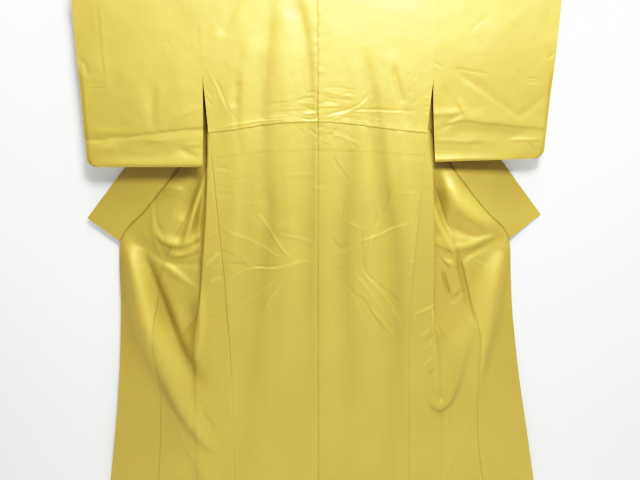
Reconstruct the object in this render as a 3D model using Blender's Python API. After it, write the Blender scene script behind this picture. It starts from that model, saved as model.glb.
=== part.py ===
# A plain, lined woman's kimono, hung on a bar through its sleeves with its back to the viewer and its
# fronts spread out to both sides against the wall behind. Metres, +Z up, the viewer looks along +Y.
# Every piece is a wall of cloth. A body piece is cut in one from the back hem over the shoulder to the
# front hem, and here it is two walls, back and front, that meet on the shoulder line over the bar.
# "depth" is the distance below the shoulder line, "across" the distance from the centre back, and a
# fold's height stands towards the viewer.
import math

import bpy
import numpy as np

# Driving sizes of the cloth
clothThickness = 0.0020
seamGap = 0.0003
backLength = 1.590
shoulderWidth = 0.302
frontWidth = 0.245
neckHalfWidth = 0.085
neckDrop = 0.030
sleeveJoinDepth = 0.240
sleeveCuffDepth = 0.230
sleeveCornerRadius = 0.024
collarWidth = 0.113
collarFoldedWidth = 0.056
overCollarHalfLength = 0.470
overCollarThickness = 0.0015
frontLift = 0.045
collarInset = 0.0036
collarSeamGap = 0.0006
foldRadius = 0.004

# Driving sizes of the hanger
barRadius = 0.0095
barClearance = 0.0008
barHalfLength = 0.660
barZ = -0.105
hookWire = 0.0044
hookInnerRadius = 0.012

wrapRadius = barRadius + barClearance + clothThickness / 2
wrapHalf = math.pi * wrapRadius / 2
shoulderZ = barZ + wrapRadius

# Where the seams and fold edges of each spread front lie, by depth
sectionColumns = ("depth", "sideSeam", "foldEdge", "okumiSeam", "outerLine")
leftSections = [
    (0.000, 0.3020, 0.2940, 0.085, 0.085),
    (0.120, 0.3020, 0.2940, 0.150, 0.150),
    (0.240, 0.3020, 0.2940, 0.212, 0.2175),
    (0.330, 0.2970, 0.2945, 0.245, 0.273),
    (0.420, 0.2920, 0.2990, 0.280, 0.331),
    (0.510, 0.2870, 0.3050, 0.316, 0.397),
    (0.620, 0.2810, 0.3140, 0.361, 0.490),
    (0.715, 0.2760, 0.3250, 0.416, 0.574),
    (0.800, 0.2710, 0.3350, 0.452, 0.583),
    (0.900, 0.2680, 0.3460, 0.476, 0.589),
    (1.020, 0.2640, 0.3660, 0.493, 0.602),
    (1.160, 0.2640, 0.3720, 0.486, 0.619),
    (1.350, 0.2680, 0.3760, 0.498, 0.648),
    (1.590, 0.2720, 0.3840, 0.524, 0.690),
]
rightSections = [
    (0.000, 0.3020, 0.2940, 0.085, 0.085),
    (0.120, 0.3020, 0.2940, 0.148, 0.148),
    (0.240, 0.3020, 0.2940, 0.208, 0.2135),
    (0.330, 0.2960, 0.2935, 0.240, 0.266),
    (0.420, 0.2890, 0.3000, 0.274, 0.322),
    (0.510, 0.2870, 0.3150, 0.312, 0.383),
    (0.620, 0.2810, 0.3240, 0.356, 0.474),
    (0.707, 0.2760, 0.3300, 0.388, 0.553),
    (0.800, 0.2720, 0.3350, 0.424, 0.566),
    (0.900, 0.2700, 0.3380, 0.451, 0.578),
    (1.020, 0.2710, 0.3500, 0.484, 0.598),
    (1.160, 0.2760, 0.3660, 0.489, 0.624),
    (1.350, 0.2840, 0.3800, 0.503, 0.665),
    (1.590, 0.2910, 0.3940, 0.545, 0.716),
]
collarEndDepth = {-1: 0.758, 1: 0.749}

# How far each layer stands from the bar's own plane, by depth: negative is nearer the viewer
layerColumns = ("depth", "back", "sideEdge", "foldEdge", "first", "turn", "second", "okumiSeam", "outerLine", "folded")
layers = [
    (0.000, -0.0113, 0.0113, 0.0113, 0.0113, 0.0113, 0.0113, 0.0113, 0.0113, 1.0),
    (0.045, -0.0114, 0.0113, 0.0113, 0.0113, 0.0115, 0.0119, 0.0130, 0.0130, 1.0),
    (0.075, -0.0117, 0.0113, 0.0113, 0.0113, 0.0125, 0.0160, 0.0270, 0.0270, 1.0),
    (0.110, -0.0120, 0.0113, 0.0113, 0.0113, 0.0135, 0.0205, 0.0240, 0.0240, 1.0),
    (0.240, -0.0135, 0.0100, 0.0102, 0.0105, 0.0135, 0.0205, 0.0240, 0.0250, 1.0),
    (0.330, -0.0140, 0.0000, 0.0070, 0.0090, 0.0120, 0.0190, 0.0225, 0.0260, 1.0),
    (0.420, -0.0140, -0.0140, -0.0125, -0.0025, 0.0030, 0.0160, 0.0200, 0.0280, 1.0),
    (0.600, -0.0140, -0.0140, -0.0130, -0.0030, 0.0025, 0.0150, 0.0180, 0.0330, 1.0),
    (0.830, -0.0132, -0.0132, -0.0105, -0.0010, 0.0045, 0.0140, 0.0170, 0.0360, 1.0),
    (0.960, -0.0125, -0.0125, -0.0100, -0.0030, 0.0070, 0.0130, 0.0170, 0.0360, 1.0),
    (1.010, -0.0120, -0.0120, -0.0090, -0.0035, 0.0070, 0.0110, 0.0160, 0.0360, 0.5),
    (1.080, -0.0110, -0.0110, -0.0075, -0.0010, 0.0035, 0.0055, 0.0150, 0.0350, 0.0),
    (1.350, -0.0090, -0.0090, -0.0060, -0.0020, 0.0010, 0.0020, 0.0120, 0.0300, 0.0),
    (1.590, -0.0080, -0.0080, -0.0060, -0.0020, 0.0000, 0.0010, 0.0100, 0.0260, 0.0),
]

# The largest folds: each is a line of rows, and its height dies away over the two widths beside it
foldColumns = ("across", "depth", "height", "innerWidth", "outerWidth")
leftFrontFolds = {
    "long ridge from the collar end": [
        (0.566, 0.718, 0.002, 0.020, 0.030),
        (0.552, 0.796, 0.014, 0.028, 0.046),
        (0.524, 0.890, 0.023, 0.032, 0.052),
        (0.506, 0.972, 0.026, 0.036, 0.056),
        (0.491, 1.038, 0.027, 0.040, 0.060),
        (0.467, 1.124, 0.026, 0.044, 0.062),
        (0.427, 1.240, 0.021, 0.046, 0.058),
        (0.390, 1.320, 0.012, 0.042, 0.050),
        (0.323, 1.364, 0.001, 0.030, 0.040),
    ],
    "valley beside the ridge": [
        (0.506, 0.764, -0.003, 0.020, 0.020),
        (0.470, 0.920, -0.007, 0.028, 0.024),
        (0.427, 1.040, -0.008, 0.034, 0.026),
        (0.388, 1.180, -0.006, 0.036, 0.026),
        (0.330, 1.340, 0.000, 0.030, 0.026),
    ],
    "ridge under the collar end": [
        (0.540, 0.722, 0.001, 0.020, 0.020),
        (0.470, 0.738, 0.007, 0.022, 0.016),
        (0.400, 0.735, 0.008, 0.024, 0.016),
        (0.340, 0.700, 0.002, 0.020, 0.016),
    ],
}
rightFrontFolds = {
    "long ridge from the collar end": [
        (0.545, 0.722, 0.002, 0.020, 0.030),
        (0.533, 0.830, 0.012, 0.034, 0.040),
        (0.516, 0.930, 0.017, 0.040, 0.048),
        (0.492, 1.040, 0.020, 0.042, 0.056),
        (0.462, 1.150, 0.020, 0.040, 0.056),
        (0.420, 1.240, 0.014, 0.036, 0.046),
        (0.366, 1.270, 0.002, 0.026, 0.030),
    ],
    "ridge under the collar seam": [
        (0.374, 0.500, 0.006, 0.030, 0.016),
        (0.424, 0.600, 0.010, 0.028, 0.016),
        (0.480, 0.655, 0.009, 0.026, 0.014),
        (0.536, 0.704, 0.001, 0.020, 0.012),
    ],
    "ridge across the okumi": [
        (0.545, 0.716, 0.001, 0.016, 0.016),
        (0.490, 0.735, 0.010, 0.018, 0.014),
        (0.430, 0.752, 0.012, 0.020, 0.014),
        (0.378, 0.752, 0.002, 0.016, 0.014),
    ],
}
# On the back, "across" is positive on the viewer's right
backFolds = {
    "left of the seam, from the neck": [
        (-0.030, 0.060, -0.006, 0.018, 0.018),
        (-0.016, 0.180, -0.004, 0.016, 0.014),
        (-0.014, 0.340, -0.002, 0.014, 0.012),
    ],
    "left wave": [
        (-0.110, 0.080, -0.003, 0.030, 0.034),
        (-0.165, 0.360, -0.003, 0.030, 0.034),
        (-0.160, 0.700, -0.004, 0.034, 0.036),
        (-0.215, 1.080, -0.005, 0.036, 0.038),
        (-0.235, 1.560, -0.004, 0.036, 0.030),
    ],
    "right wave": [
        (0.118, 0.130, -0.002, 0.030, 0.034),
        (0.140, 0.280, -0.005, 0.026, 0.026),
        (0.176, 0.470, -0.005, 0.026, 0.028),
        (0.212, 0.680, -0.005, 0.030, 0.030),
        (0.232, 0.980, -0.004, 0.036, 0.030),
        (0.236, 1.560, -0.003, 0.036, 0.030),
    ],
    "middle swell": [
        (0.070, 0.860, 0.002, 0.040, 0.040),
        (0.080, 1.250, 0.004, 0.050, 0.050),
        (0.090, 1.580, 0.005, 0.050, 0.050),
    ],
}

# The sleeves hang with small differences between the two sides
sleeveColumns = ("innerJoin", "innerBottom", "outerTop", "outerBottom", "bottomInner", "bottomOuter")
leftSleeve = dict(zip(sleeveColumns, (0.30215, 0.313, 0.624, 0.627, 0.491, 0.491)))
rightSleeve = dict(zip(sleeveColumns, (0.30215, 0.319, 0.617, 0.614, 0.479, 0.470)))
# The sleeve's two layers, by their share of the fall to its bottom seam
sleeveLayerColumns = ("fall", "viewer", "wall")
sleeveLayers = [
    (0.00, -0.0113, 0.0113),
    (0.25, -0.0122, 0.0113),
    (0.49, -0.0135, 0.0100),
    (0.74, -0.0125, 0.0055),
    (0.88, -0.0100, 0.0025),
    (0.96, -0.0062, -0.0005),
    (1.00, -0.00415, -0.00185),
]
sleeveSeamY = -0.0030

# Colours: gold silk outside, white painted steel and pale wood for the hanger
goldSilk = (0.62, 0.48, 0.10, 1.0)
paleWood = (0.66, 0.50, 0.33, 1.0)
hookSteel = (0.75, 0.75, 0.76, 1.0)

# How finely the pieces are divided
shoulderRow = wrapRadius * (1 - math.cos(seamGap / wrapRadius))
frontDepths = (shoulderRow, 0.0015, 0.0056, 0.0113, 0.022, 0.045, 0.060, 0.075, 0.110, 0.150, 0.200, 0.250, 0.300, 0.345, 0.385, 0.420,
               0.470, 0.530, 0.600, 0.675, 0.830, 0.910, 0.960, 1.010, 1.080, 1.180, 1.300, 1.440, backLength)
okumiTipDepth = 0.250
straightCuts = (2, 1, 4, 1, 5)
cornerCuts = 2
okumiCuts = 6
sleeveCuts = 9


def smooth(knots, values, where):
    """A curve without overshoot through the knots, read at the places asked for."""
    knots = np.asarray(knots, float)
    values = np.asarray(values, float)
    steps = np.diff(knots)
    slopes = np.diff(values) / steps
    bends = np.zeros(len(knots))
    rising = slopes[:-1] * slopes[1:] > 0
    before = 2 * steps[1:] + steps[:-1]
    after = steps[1:] + 2 * steps[:-1]
    with np.errstate(divide="ignore", invalid="ignore"):
        mean = (before + after) / (before / slopes[:-1] + after / slopes[1:])
    bends[1:-1] = np.where(rising, mean, 0.0)
    bends[0], bends[-1] = slopes[0], slopes[-1]
    where = np.clip(np.asarray(where, float), knots[0], knots[-1])
    run = np.clip(np.searchsorted(knots, where, side="right") - 1, 0, len(steps) - 1)
    share = (where - knots[run]) / steps[run]
    square, cube = share**2, share**3
    return (
        values[run] * (2 * cube - 3 * square + 1)
        + values[run + 1] * (3 * square - 2 * cube)
        + steps[run] * bends[run] * (cube - 2 * square + share)
        + steps[run] * bends[run + 1] * (cube - square)
    )


def column(table, columns, name, depth):
    """A table's named column, read smoothly at the depths asked for."""
    place = columns.index(name)
    return smooth([row[0] for row in table], [row[place] for row in table], depth)


def ease(low, high, value):
    """0 below low, 1 above high, and a soft step between."""
    share = np.clip((np.asarray(value, float) - low) / (high - low), 0.0, 1.0)
    return share * share * (3 - 2 * share)


def foldHeight(rows, across, depth):
    """Height of one fold over the places asked for, from the nearest run of its line."""
    line = np.array(rows, float)
    nearest = np.full(np.shape(across), 1e9)
    height = np.zeros(np.shape(across))
    for start, end in zip(line[:-1], line[1:]):
        along = end[:2] - start[:2]
        length = math.hypot(*along)
        shareAlong = ((across - start[0]) * along[0] + (depth - start[1]) * along[1]) / length**2
        share = np.clip(shareAlong, 0.0, 1.0)
        offAcross = across - start[0] - share * along[0]
        offDepth = depth - start[1] - share * along[1]
        distance = np.hypot(offAcross, offDepth)
        inner = (offAcross * along[1] - offDepth * along[0]) < 0
        here = start[2:] + share[..., None] * (end[2:] - start[2:])
        width = np.where(inner, here[..., 1], here[..., 2])
        found = here[..., 0] * np.exp(-((distance / width) ** 2))
        closer = distance < nearest
        nearest = np.where(closer, distance, nearest)
        height = np.where(closer, found, height)
    return height


def allFolds(folds, across, depth):
    """Sum of the heights of a group of folds."""
    return sum(foldHeight(rows, across, depth) for rows in folds.values())


def roundedPath(corners, radius, evenness):
    """Rows of corner points (rows, corners, 3) joined by straights, with each inner corner rounded off.
    Where evenness is 1 the points of a row are spread evenly along it."""
    legs = np.diff(corners, axis=1)
    lengths = np.maximum(np.linalg.norm(legs, axis=2, keepdims=True), 1e-9)
    ways = legs / lengths
    reach = np.minimum(radius, 0.45 * np.minimum(lengths[:, :-1], lengths[:, 1:]))
    enter = corners[:, 1:-1] - ways[:, :-1] * reach
    leave = corners[:, 1:-1] + ways[:, 1:] * reach
    starts = np.concatenate([corners[:, :1], leave], axis=1)
    ends = np.concatenate([enter, corners[:, -1:]], axis=1)
    points = []
    for leg, cuts in enumerate(straightCuts):
        for cut in range(cuts):
            points.append(starts[:, leg] + (ends[:, leg] - starts[:, leg]) * cut / cuts)
        if leg < len(straightCuts) - 1:
            for cut in range(cornerCuts):
                share = cut / cornerCuts
                points.append(
                    (1 - share) ** 2 * enter[:, leg]
                    + 2 * share * (1 - share) * corners[:, leg + 1]
                    + share**2 * leave[:, leg]
                )
    points.append(corners[:, -1])
    points = np.stack(points, axis=1)
    spread = []
    for row, even in zip(points, evenness):
        run = np.concatenate([[0.0], np.cumsum(np.linalg.norm(np.diff(row, axis=0), axis=1))])
        wanted = (1 - even) * run + even * np.linspace(0, run[-1], len(run))
        spread.append(np.stack([np.interp(wanted, run, row[:, axis]) for axis in range(3)], axis=1))
    return np.array(spread)


def wrapOverBar(across, cloth, standOff):
    """Places on cloth laid over the bar. cloth runs from the shoulder line, positive down the back."""
    angle = np.clip(cloth / wrapRadius, -math.pi / 2, math.pi / 2)
    below = np.maximum(np.abs(cloth) - wrapHalf, 0.0)
    y = np.where(below > 0, standOff, -wrapRadius * np.sin(angle))
    z = shoulderZ - wrapRadius * (1 - np.cos(angle)) - below
    return np.stack(np.broadcast_arrays(across, y, z), axis=-1)


def backPart(side):
    """Points of a body piece from the back hem up to the shoulder line, side edge first."""
    sections = leftSections if side < 0 else rightSections
    falling = frontRowDepths(side)[::-1]
    falling = falling[falling > 0.04] - wrapRadius + wrapHalf
    neck = neckDrop * np.array([1.12, 1.0, 0.93, 0.80])
    cloth = np.concatenate([falling, neck, wrapHalf * np.array([1.0, 0.67, 0.33, 0.0])])
    depth = np.where(cloth > wrapHalf, cloth - wrapHalf + wrapRadius, wrapRadius * (1 - np.cos(cloth / wrapRadius)))
    outer = column(sections, sectionColumns, "sideSeam", depth) - seamGap / 2
    inner = neckHalfWidth * np.sqrt(np.clip(1 - (cloth / neckDrop) ** 2, 0.0, None)) + seamGap / 2
    across = outer[:, None] + (inner - outer)[:, None] * columnShares[None, :]
    depths = np.broadcast_to(depth[:, None], across.shape)
    standOff = column(layers, layerColumns, "back", depths)
    relief = allFolds(backFolds, side * across, depths) * ease(0.02, 0.10, depths)
    return wrapOverBar(side * across, cloth[:, None], standOff - relief)


def frontRowDepths(side):
    """The shared row depths of a front, with a row at the collar's end."""
    return np.array(sorted(frontDepths + (collarEndDepth[side],)))


def frontRelief(side, across, depth):
    """Height of the front's folds, dying away towards the side seam."""
    sections, folds = (leftSections, leftFrontFolds) if side < 0 else (rightSections, rightFrontFolds)
    sideSeam = column(sections, sectionColumns, "sideSeam", depth)
    return allFolds(folds, across, depth) * ease(0.0, 0.05, across - sideSeam)


def okumiSeamPlace(side, flat):
    """Across, stand-off and depth of the seam between front and okumi, and above its tip of the collar seam."""
    sections = leftSections if side < 0 else rightSections
    depth = flat - frontLift * ease(0.0, 0.5, flat)
    across = column(sections, sectionColumns, "okumiSeam", depth)
    return across, column(layers, layerColumns, "okumiSeam", depth) - frontRelief(side, across, depth), depth


def outerPlace(side, flat):
    """Across, stand-off and depth of the okumi's outer edge."""
    sections = leftSections if side < 0 else rightSections
    depth = flat - frontLift * ease(0.0, 0.5, flat) + 0.004 * ease(okumiTipDepth, 0.75, flat)
    across = column(sections, sectionColumns, "outerLine", depth)
    return across, column(layers, layerColumns, "outerLine", depth) - frontRelief(side, across, depth), depth


def frontPart(side):
    """Points of a body piece from below the shoulder line down to the front hem, side edge first."""
    sections = leftSections if side < 0 else rightSections
    flat = frontRowDepths(side)
    sideSeam = column(sections, sectionColumns, "sideSeam", flat) + seamGap / 2 * ease(0.24, 0.34, flat)
    edge = column(sections, sectionColumns, "foldEdge", flat)
    okumi, okumiY, okumiDepth = okumiSeamPlace(side, flat)
    okumiY = okumiY + frontRelief(side, okumi, okumiDepth)
    okumi = okumi - seamGap / 2
    sideY, edgeY, firstY, turnY, secondY, folded = (
        column(layers, layerColumns, name, flat)
        for name in ("sideEdge", "foldEdge", "first", "turn", "second", "folded")
    )
    cutWidth = frontWidth - (frontWidth - shoulderWidth + neckHalfWidth) * (1 - ease(0.0, 0.24, flat))
    crest = np.maximum(edge, sideSeam)
    doubled = (crest * 2 - sideSeam + okumi - cutWidth) / 2
    doubled = okumi - 0.002 - (okumi - 0.002 - doubled) * ease(0.06, 0.12, flat)
    doubled = doubled + 0.009 * (1 - ease(0.040, 0.075, flat))
    doubled = doubled + (edge + 0.004 - doubled) * ease(0.88, 1.00, flat)
    single = edge + 0.45 * (okumi - edge)
    turn = folded * doubled + (1 - folded) * single
    onward = 0.010 * np.sign(okumi - edge) * (1 - folded)
    zero = np.zeros_like(flat)
    places = [
        (sideSeam, sideY),
        (edge, edgeY),
        (edge - 0.002 * folded + onward, firstY),
        (turn + 0.003 * folded - onward, turnY),
        (turn, secondY),
        (okumi, okumiY),
    ]
    corners = np.stack([np.stack([x, y, zero], axis=-1) for x, y in places], axis=1)
    points = roundedPath(corners, foldRadius, 1 - ease(0.022, 0.045, flat))
    steps = np.linalg.norm(np.diff(points, axis=1), axis=2)
    run = np.concatenate([np.zeros((len(flat), 1)), np.cumsum(steps, axis=1)], axis=1)
    depth = flat[:, None] - (flat - okumiDepth)[:, None] * ease(0.0, 1.0, run / run[:, -1:])
    columnPlace = np.arange(points.shape[1])[None, :]
    onSecond = ease(len(columnPlace[0]) - 1 - straightCuts[-1], len(columnPlace[0]) - 3, columnPlace)
    share = np.maximum(onSecond, ease(0.98, 1.12, depth))
    y = points[..., 1] - frontRelief(side, points[..., 0], depth) * share
    onBar = np.clip(wrapRadius - depth, 0.0, None)
    y = np.where(onBar > 0, np.sqrt(wrapRadius**2 - onBar**2), y)
    return np.stack([side * points[..., 0], y, shoulderZ - depth], axis=-1)


def okumiPart(side):
    """Points of a front overlap from its pointed tip down to the hem, body seam first."""
    flat = frontRowDepths(side)
    flat = flat[flat >= okumiTipDepth]
    seam, seamY, seamDepth = okumiSeamPlace(side, flat)
    outer, outerY, outerDepth = outerPlace(side, flat)
    seamY = seamY + frontRelief(side, seam, seamDepth)
    outerY = outerY + frontRelief(side, outer, outerDepth)
    seam = seam + seamGap / 2
    share = np.linspace(0, 1, okumiCuts + 1)[None, :]
    across = seam[:, None] + (outer - seam)[:, None] * share
    depth = seamDepth[:, None] + (outerDepth - seamDepth)[:, None] * share
    y = seamY[:, None] + (outerY - seamY)[:, None] * share - frontRelief(side, across, depth)
    return np.stack([side * across, y, shoulderZ - depth], axis=-1)


def sleevePart(side):
    """Points of a sleeve from the bottom seam up the viewer's side, over the bar and down to the seam."""
    cut = leftSleeve if side < 0 else rightSleeve
    acrossShare = np.linspace(0, 1, sleeveCuts + 1)
    bottom = cut["bottomInner"] + (cut["bottomOuter"] - cut["bottomInner"]) * acrossShare
    corner = np.sin(np.linspace(math.pi / 2, 0, 5))
    cornerDepth = sleeveCornerRadius * (1 - corner)
    straight = np.array([0.88, 0.76, 0.62, 0.48, 0.36, 0.24, 0.14, 0.07, 0.03])
    overBar = np.linspace(1, 0, 4)
    down = []
    for rise in cornerDepth:
        down.append(bottom - rise)
    for share in straight:
        down.append((bottom - sleeveCornerRadius) * share)
    for share in overBar:
        down.append(np.full_like(bottom, wrapRadius * (1 - math.cos(share * math.pi / 2))))
    down = np.array(down)
    inner = smooth(
        [0, sleeveJoinDepth, cut["bottomInner"]],
        [cut["innerJoin"], cut["innerJoin"], cut["innerBottom"]],
        down,
    )
    outer = cut["outerTop"] + (cut["outerBottom"] - cut["outerTop"]) * down / cut["bottomOuter"]
    intoCorner = np.clip((down - (bottom - sleeveCornerRadius)) / sleeveCornerRadius, 0.0, 1.0)
    outer = outer - sleeveCornerRadius * (1 - np.sqrt(1 - intoCorner**2))
    across = inner + (outer - inner) * acrossShare[None, :]
    fall = np.clip(down / bottom, 0.0, 1.0)
    closed = ease(sleeveCuffDepth, sleeveCuffDepth + 0.04, down) * (1 - ease(0.0, 0.030, outer - across))
    z = shoulderZ - down
    faces = []
    for name, seamSide in (("viewer", -1), ("wall", 1)):
        y = smooth([row[0] for row in sleeveLayers], [row[sleeveLayerColumns.index(name)] for row in sleeveLayers], fall)
        y = y + (sleeveSeamY + seamSide * (clothThickness + seamGap) / 2 - y) * closed
        turned = np.sqrt(np.clip(wrapRadius**2 - (wrapRadius - down) ** 2, 0.0, None))
        faces.append(np.stack([side * across, np.where(down <= wrapRadius, seamSide * turned, y), z], axis=-1))
    return np.concatenate([faces[0], faces[1][::-1][1:]], axis=0)


def collarPath(side):
    """Places along one half of the collar's seam, from centre back to the collar end, and the way its width runs."""
    around = np.linspace(0, 1, 8)[:-1] * math.pi / 2
    inside = neckHalfWidth - collarInset
    back = wrapOverBar(inside * np.sin(around), neckDrop * np.cos(around) - seamGap, -wrapRadius)
    backWays = np.tile([0.0, 0.0, 1.0], (len(back), 1))
    top = np.array([
        [inside, 0.0060, shoulderZ + 0.0008],
        [inside + 0.0030, 0.0160, shoulderZ + 0.0010],
    ])
    topWays = np.array([[0.06, 0.05, 1.0], [0.25, 0.30, 0.92]])
    flat = frontRowDepths(side)
    flat = flat[(flat > 0.02) & (flat <= collarEndDepth[side])]
    inner = np.stack(okumiSeamPlace(side, flat), axis=-1)
    outer = np.stack(outerPlace(side, flat), axis=-1)
    falling = np.where((flat >= okumiTipDepth)[:, None], outer, inner)
    falling[:, 2] = shoulderZ - falling[:, 2]
    slopes = np.gradient(falling, axis=0)
    slopes /= np.linalg.norm(slopes, axis=1, keepdims=True)
    standing = 1 - ease(0.0, 0.16, flat)
    fallingWays = np.stack([-slopes[:, 2], 0.60 * standing, slopes[:, 0] + 0.5 * standing], axis=-1)
    falling[:, 1] += 0.0048 * (1 - ease(0.05, 0.15, flat))
    places = np.concatenate([back, top, falling])
    ways = np.concatenate([backWays, topWays, fallingWays])
    ways /= np.linalg.norm(ways, axis=1, keepdims=True)
    places[:, 0] *= side
    ways[:, 0] *= side
    return places, ways


def collarHalf(side):
    """Points of one half of the collar, from centre back to its end, seam edge first, and its run."""
    places, ways = collarPath(side)
    steps = np.linalg.norm(np.diff(places, axis=0), axis=1)
    run = np.concatenate([[0], np.cumsum(steps)])
    width = collarFoldedWidth + (collarWidth - collarFoldedWidth) * ease(0.25, 0.62, run)
    lean = 0.010 * ease(0.30, 0.90, run)
    across = np.linspace(0, 1, 5)[None, :, None]
    points = places[:, None, :] + ways[:, None, :] * (collarSeamGap + width[:, None, None] * across)
    points[..., 1] += lean[:, None] * across[..., 0]
    return points, run


def sheetNormals(points):
    """Unit normals of a grid of points, rows by columns."""
    alongRows = np.gradient(points, axis=0)
    alongColumns = np.gradient(points, axis=1)
    normals = np.cross(alongColumns, alongRows)
    return normals / np.maximum(np.linalg.norm(normals, axis=2, keepdims=True), 1e-12)


def clothWall(name, points, normals, thickness, material):
    """A closed wall of cloth with the grid of points as its middle."""
    rows, columns = points.shape[:2]
    faceA = (points + normals * thickness / 2).reshape(-1, 3)
    faceB = (points - normals * thickness / 2).reshape(-1, 3)
    count = rows * columns
    middle = points.reshape(-1, 3)
    faces = []
    for row in range(rows - 1):
        for cut in range(columns - 1):
            a = row * columns + cut
            b, c, d = a + 1, a + columns + 1, a + columns
            if np.linalg.norm(middle[a] - middle[c]) < np.linalg.norm(middle[b] - middle[d]):
                halves = ((a, b, c), (a, c, d))
            else:
                halves = ((a, b, d), (b, c, d))
            for i, j, k in halves:
                faces.append((i, j, k))
                faces.append((count + k, count + j, count + i))
    rim = [cut for cut in range(columns)]
    rim += [row * columns + columns - 1 for row in range(1, rows)]
    rim += [(rows - 1) * columns + cut for cut in range(columns - 2, -1, -1)]
    rim += [row * columns for row in range(rows - 2, 0, -1)]
    for here, there in zip(rim, rim[1:] + rim[:1]):
        if here < there:
            faces.append((there, here, count + there))
            faces.append((here, count + here, count + there))
        else:
            faces.append((there, here, count + here))
            faces.append((there, count + here, count + there))
    mesh = bpy.data.meshes.new(name)
    mesh.from_pydata(np.concatenate([faceA, faceB]).tolist(), [], faces)
    mesh.validate()
    obj = bpy.data.objects.new(name, mesh)
    bpy.context.scene.collection.objects.link(obj)
    obj.data.materials.append(material)
    turnOutwards(obj)
    mesh.shade_smooth()
    mesh.set_sharp_from_angle(angle=math.radians(50))
    return obj


def turnOutwards(obj):
    """Turns a closed mesh right side out, by the sign of its volume."""
    mesh = obj.data
    mesh.calc_loop_triangles()
    corners = np.array([[mesh.vertices[v].co[:] for v in t.vertices] for t in mesh.loop_triangles])
    if np.linalg.det(corners).sum() < 0:
        mesh.flip_normals()


def plainMaterial(name, colour, roughness, metallic=0.0):
    """A Principled BSDF of one colour."""
    material = bpy.data.materials.new(name)
    material.use_nodes = True
    shader = material.node_tree.nodes["Principled BSDF"]
    shader.inputs["Base Color"].default_value = colour
    shader.inputs["Roughness"].default_value = roughness
    shader.inputs["Metallic"].default_value = metallic
    return material


def sweptWire(name, route, diameter, material, sides):
    """A round wire along a smooth route, with closed ends."""
    curve = bpy.data.curves.new(name, "CURVE")
    curve.dimensions = "3D"
    curve.bevel_depth = diameter / 2
    curve.bevel_resolution = sides
    curve.use_fill_caps = True
    spline = curve.splines.new("POLY")
    spline.points.add(len(route) - 1)
    for point, place in zip(spline.points, route):
        point.co = (*place, 1.0)
    obj = bpy.data.objects.new(name, curve)
    bpy.context.scene.collection.objects.link(obj)
    obj.data.materials.append(material)
    return obj


def hookRoute():
    """The hook rises from the bar, bends towards the viewer and turns over the origin towards the wall."""
    turnRadius = hookInnerRadius + hookWire / 2
    centreZ = -hookInnerRadius
    foot = barZ + barRadius + seamGap
    points = [(0.0, 0.0, foot)]
    for share in np.linspace(0, 1, 9):
        y = -turnRadius * float(ease(0.35, 1.0, share))
        points.append((0.0, y, foot + 0.006 + (centreZ - foot - 0.006) * share))
    for angle in np.linspace(180, -15, 17)[1:]:
        turned = math.radians(angle)
        points.append((0.0, turnRadius * math.cos(turned), centreZ + turnRadius * math.sin(turned)))
    return points


for leftover in list(bpy.data.objects):
    bpy.data.objects.remove(leftover)

silk = plainMaterial("gold silk", goldSilk, 0.45)
wood = plainMaterial("pale wood", paleWood, 0.5)
steel = plainMaterial("hook steel", hookSteel, 0.25, 1.0)

# Column places are shared by the back and the front of a body piece, which meet over the shoulder
columnShares = np.linspace(0, 1, sum(straightCuts) + cornerCuts * (len(straightCuts) - 1) + 1)

def joinNormals(one, other):
    """Gives two edges of a seam the same normals."""
    mean = one + other
    mean /= np.linalg.norm(mean, axis=-1, keepdims=True)
    one[...] = mean
    other[...] = mean


collarHalves = []
for side, word in ((-1, "left"), (1, "right")):
    back, front = backPart(side), frontPart(side)
    okumi = okumiPart(side)
    sleeve = sleevePart(side)
    collarPoints, collarRun = collarHalf(side)
    bodyNormals = sheetNormals(np.concatenate([back, front], axis=0))
    backNormals, frontNormals = bodyNormals[: len(back)], bodyNormals[len(back) :]
    joinNormals(backNormals[-1], frontNormals[0])
    okumiNormals, collarNormals = sheetNormals(okumi), sheetNormals(collarPoints)
    flat = frontRowDepths(side)
    onOkumi = int((flat >= okumiTipDepth).sum())
    onCollar = int(((flat >= okumiTipDepth) & (flat <= collarEndDepth[side])).sum())
    joinNormals(frontNormals[-onOkumi:, -1], okumiNormals[:, 0])
    joinNormals(okumiNormals[:onCollar, -1], collarNormals[-onCollar:, 0])
    clothWall("back_" + word, back, backNormals, clothThickness, silk)
    clothWall("front_" + word, front, frontNormals, clothThickness, silk)
    clothWall("okumi_" + word, okumi, okumiNormals, clothThickness, silk)
    clothWall("sleeve_" + word, sleeve, sheetNormals(sleeve), clothThickness, silk)
    collarHalves.append((collarPoints, collarNormals * side, collarRun))

(leftCollar, leftNormals, leftRun), (rightCollar, rightNormals, rightRun) = collarHalves
collar = np.concatenate([leftCollar[::-1], rightCollar[1:]], axis=0)
collarNormals = np.concatenate([-leftNormals[::-1], -rightNormals[1:]], axis=0)
centre = len(leftCollar) - 1
collarNormals[centre] = (collarNormals[centre - 1] + collarNormals[centre + 1]) / 2
collarNormals[centre] /= np.linalg.norm(collarNormals[centre], axis=-1, keepdims=True)
clothWall("collar", collar, collarNormals, clothThickness, silk)

covered = np.concatenate([leftRun[::-1], rightRun[1:]]) < overCollarHalfLength
outside = collar + collarNormals * ((clothThickness + overCollarThickness) / 2 + seamGap)
outside[:, 0] += (outside[:, 1] - outside[:, 0]) * 0.12
clothWall("over_collar", outside[covered], collarNormals[covered], overCollarThickness, silk)

bpy.ops.mesh.primitive_cylinder_add(
    vertices=32, radius=barRadius, depth=2 * barHalfLength, location=(0, 0, barZ), rotation=(0, math.pi / 2, 0)
)
bar = bpy.context.object
bar.name = "hanger_rod"
bar.data.materials.append(wood)
bar.data.shade_smooth()
bar.data.set_sharp_from_angle(angle=math.radians(50))
sweptWire("hanger_hook", hookRoute(), hookWire, steel, 3)
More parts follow.
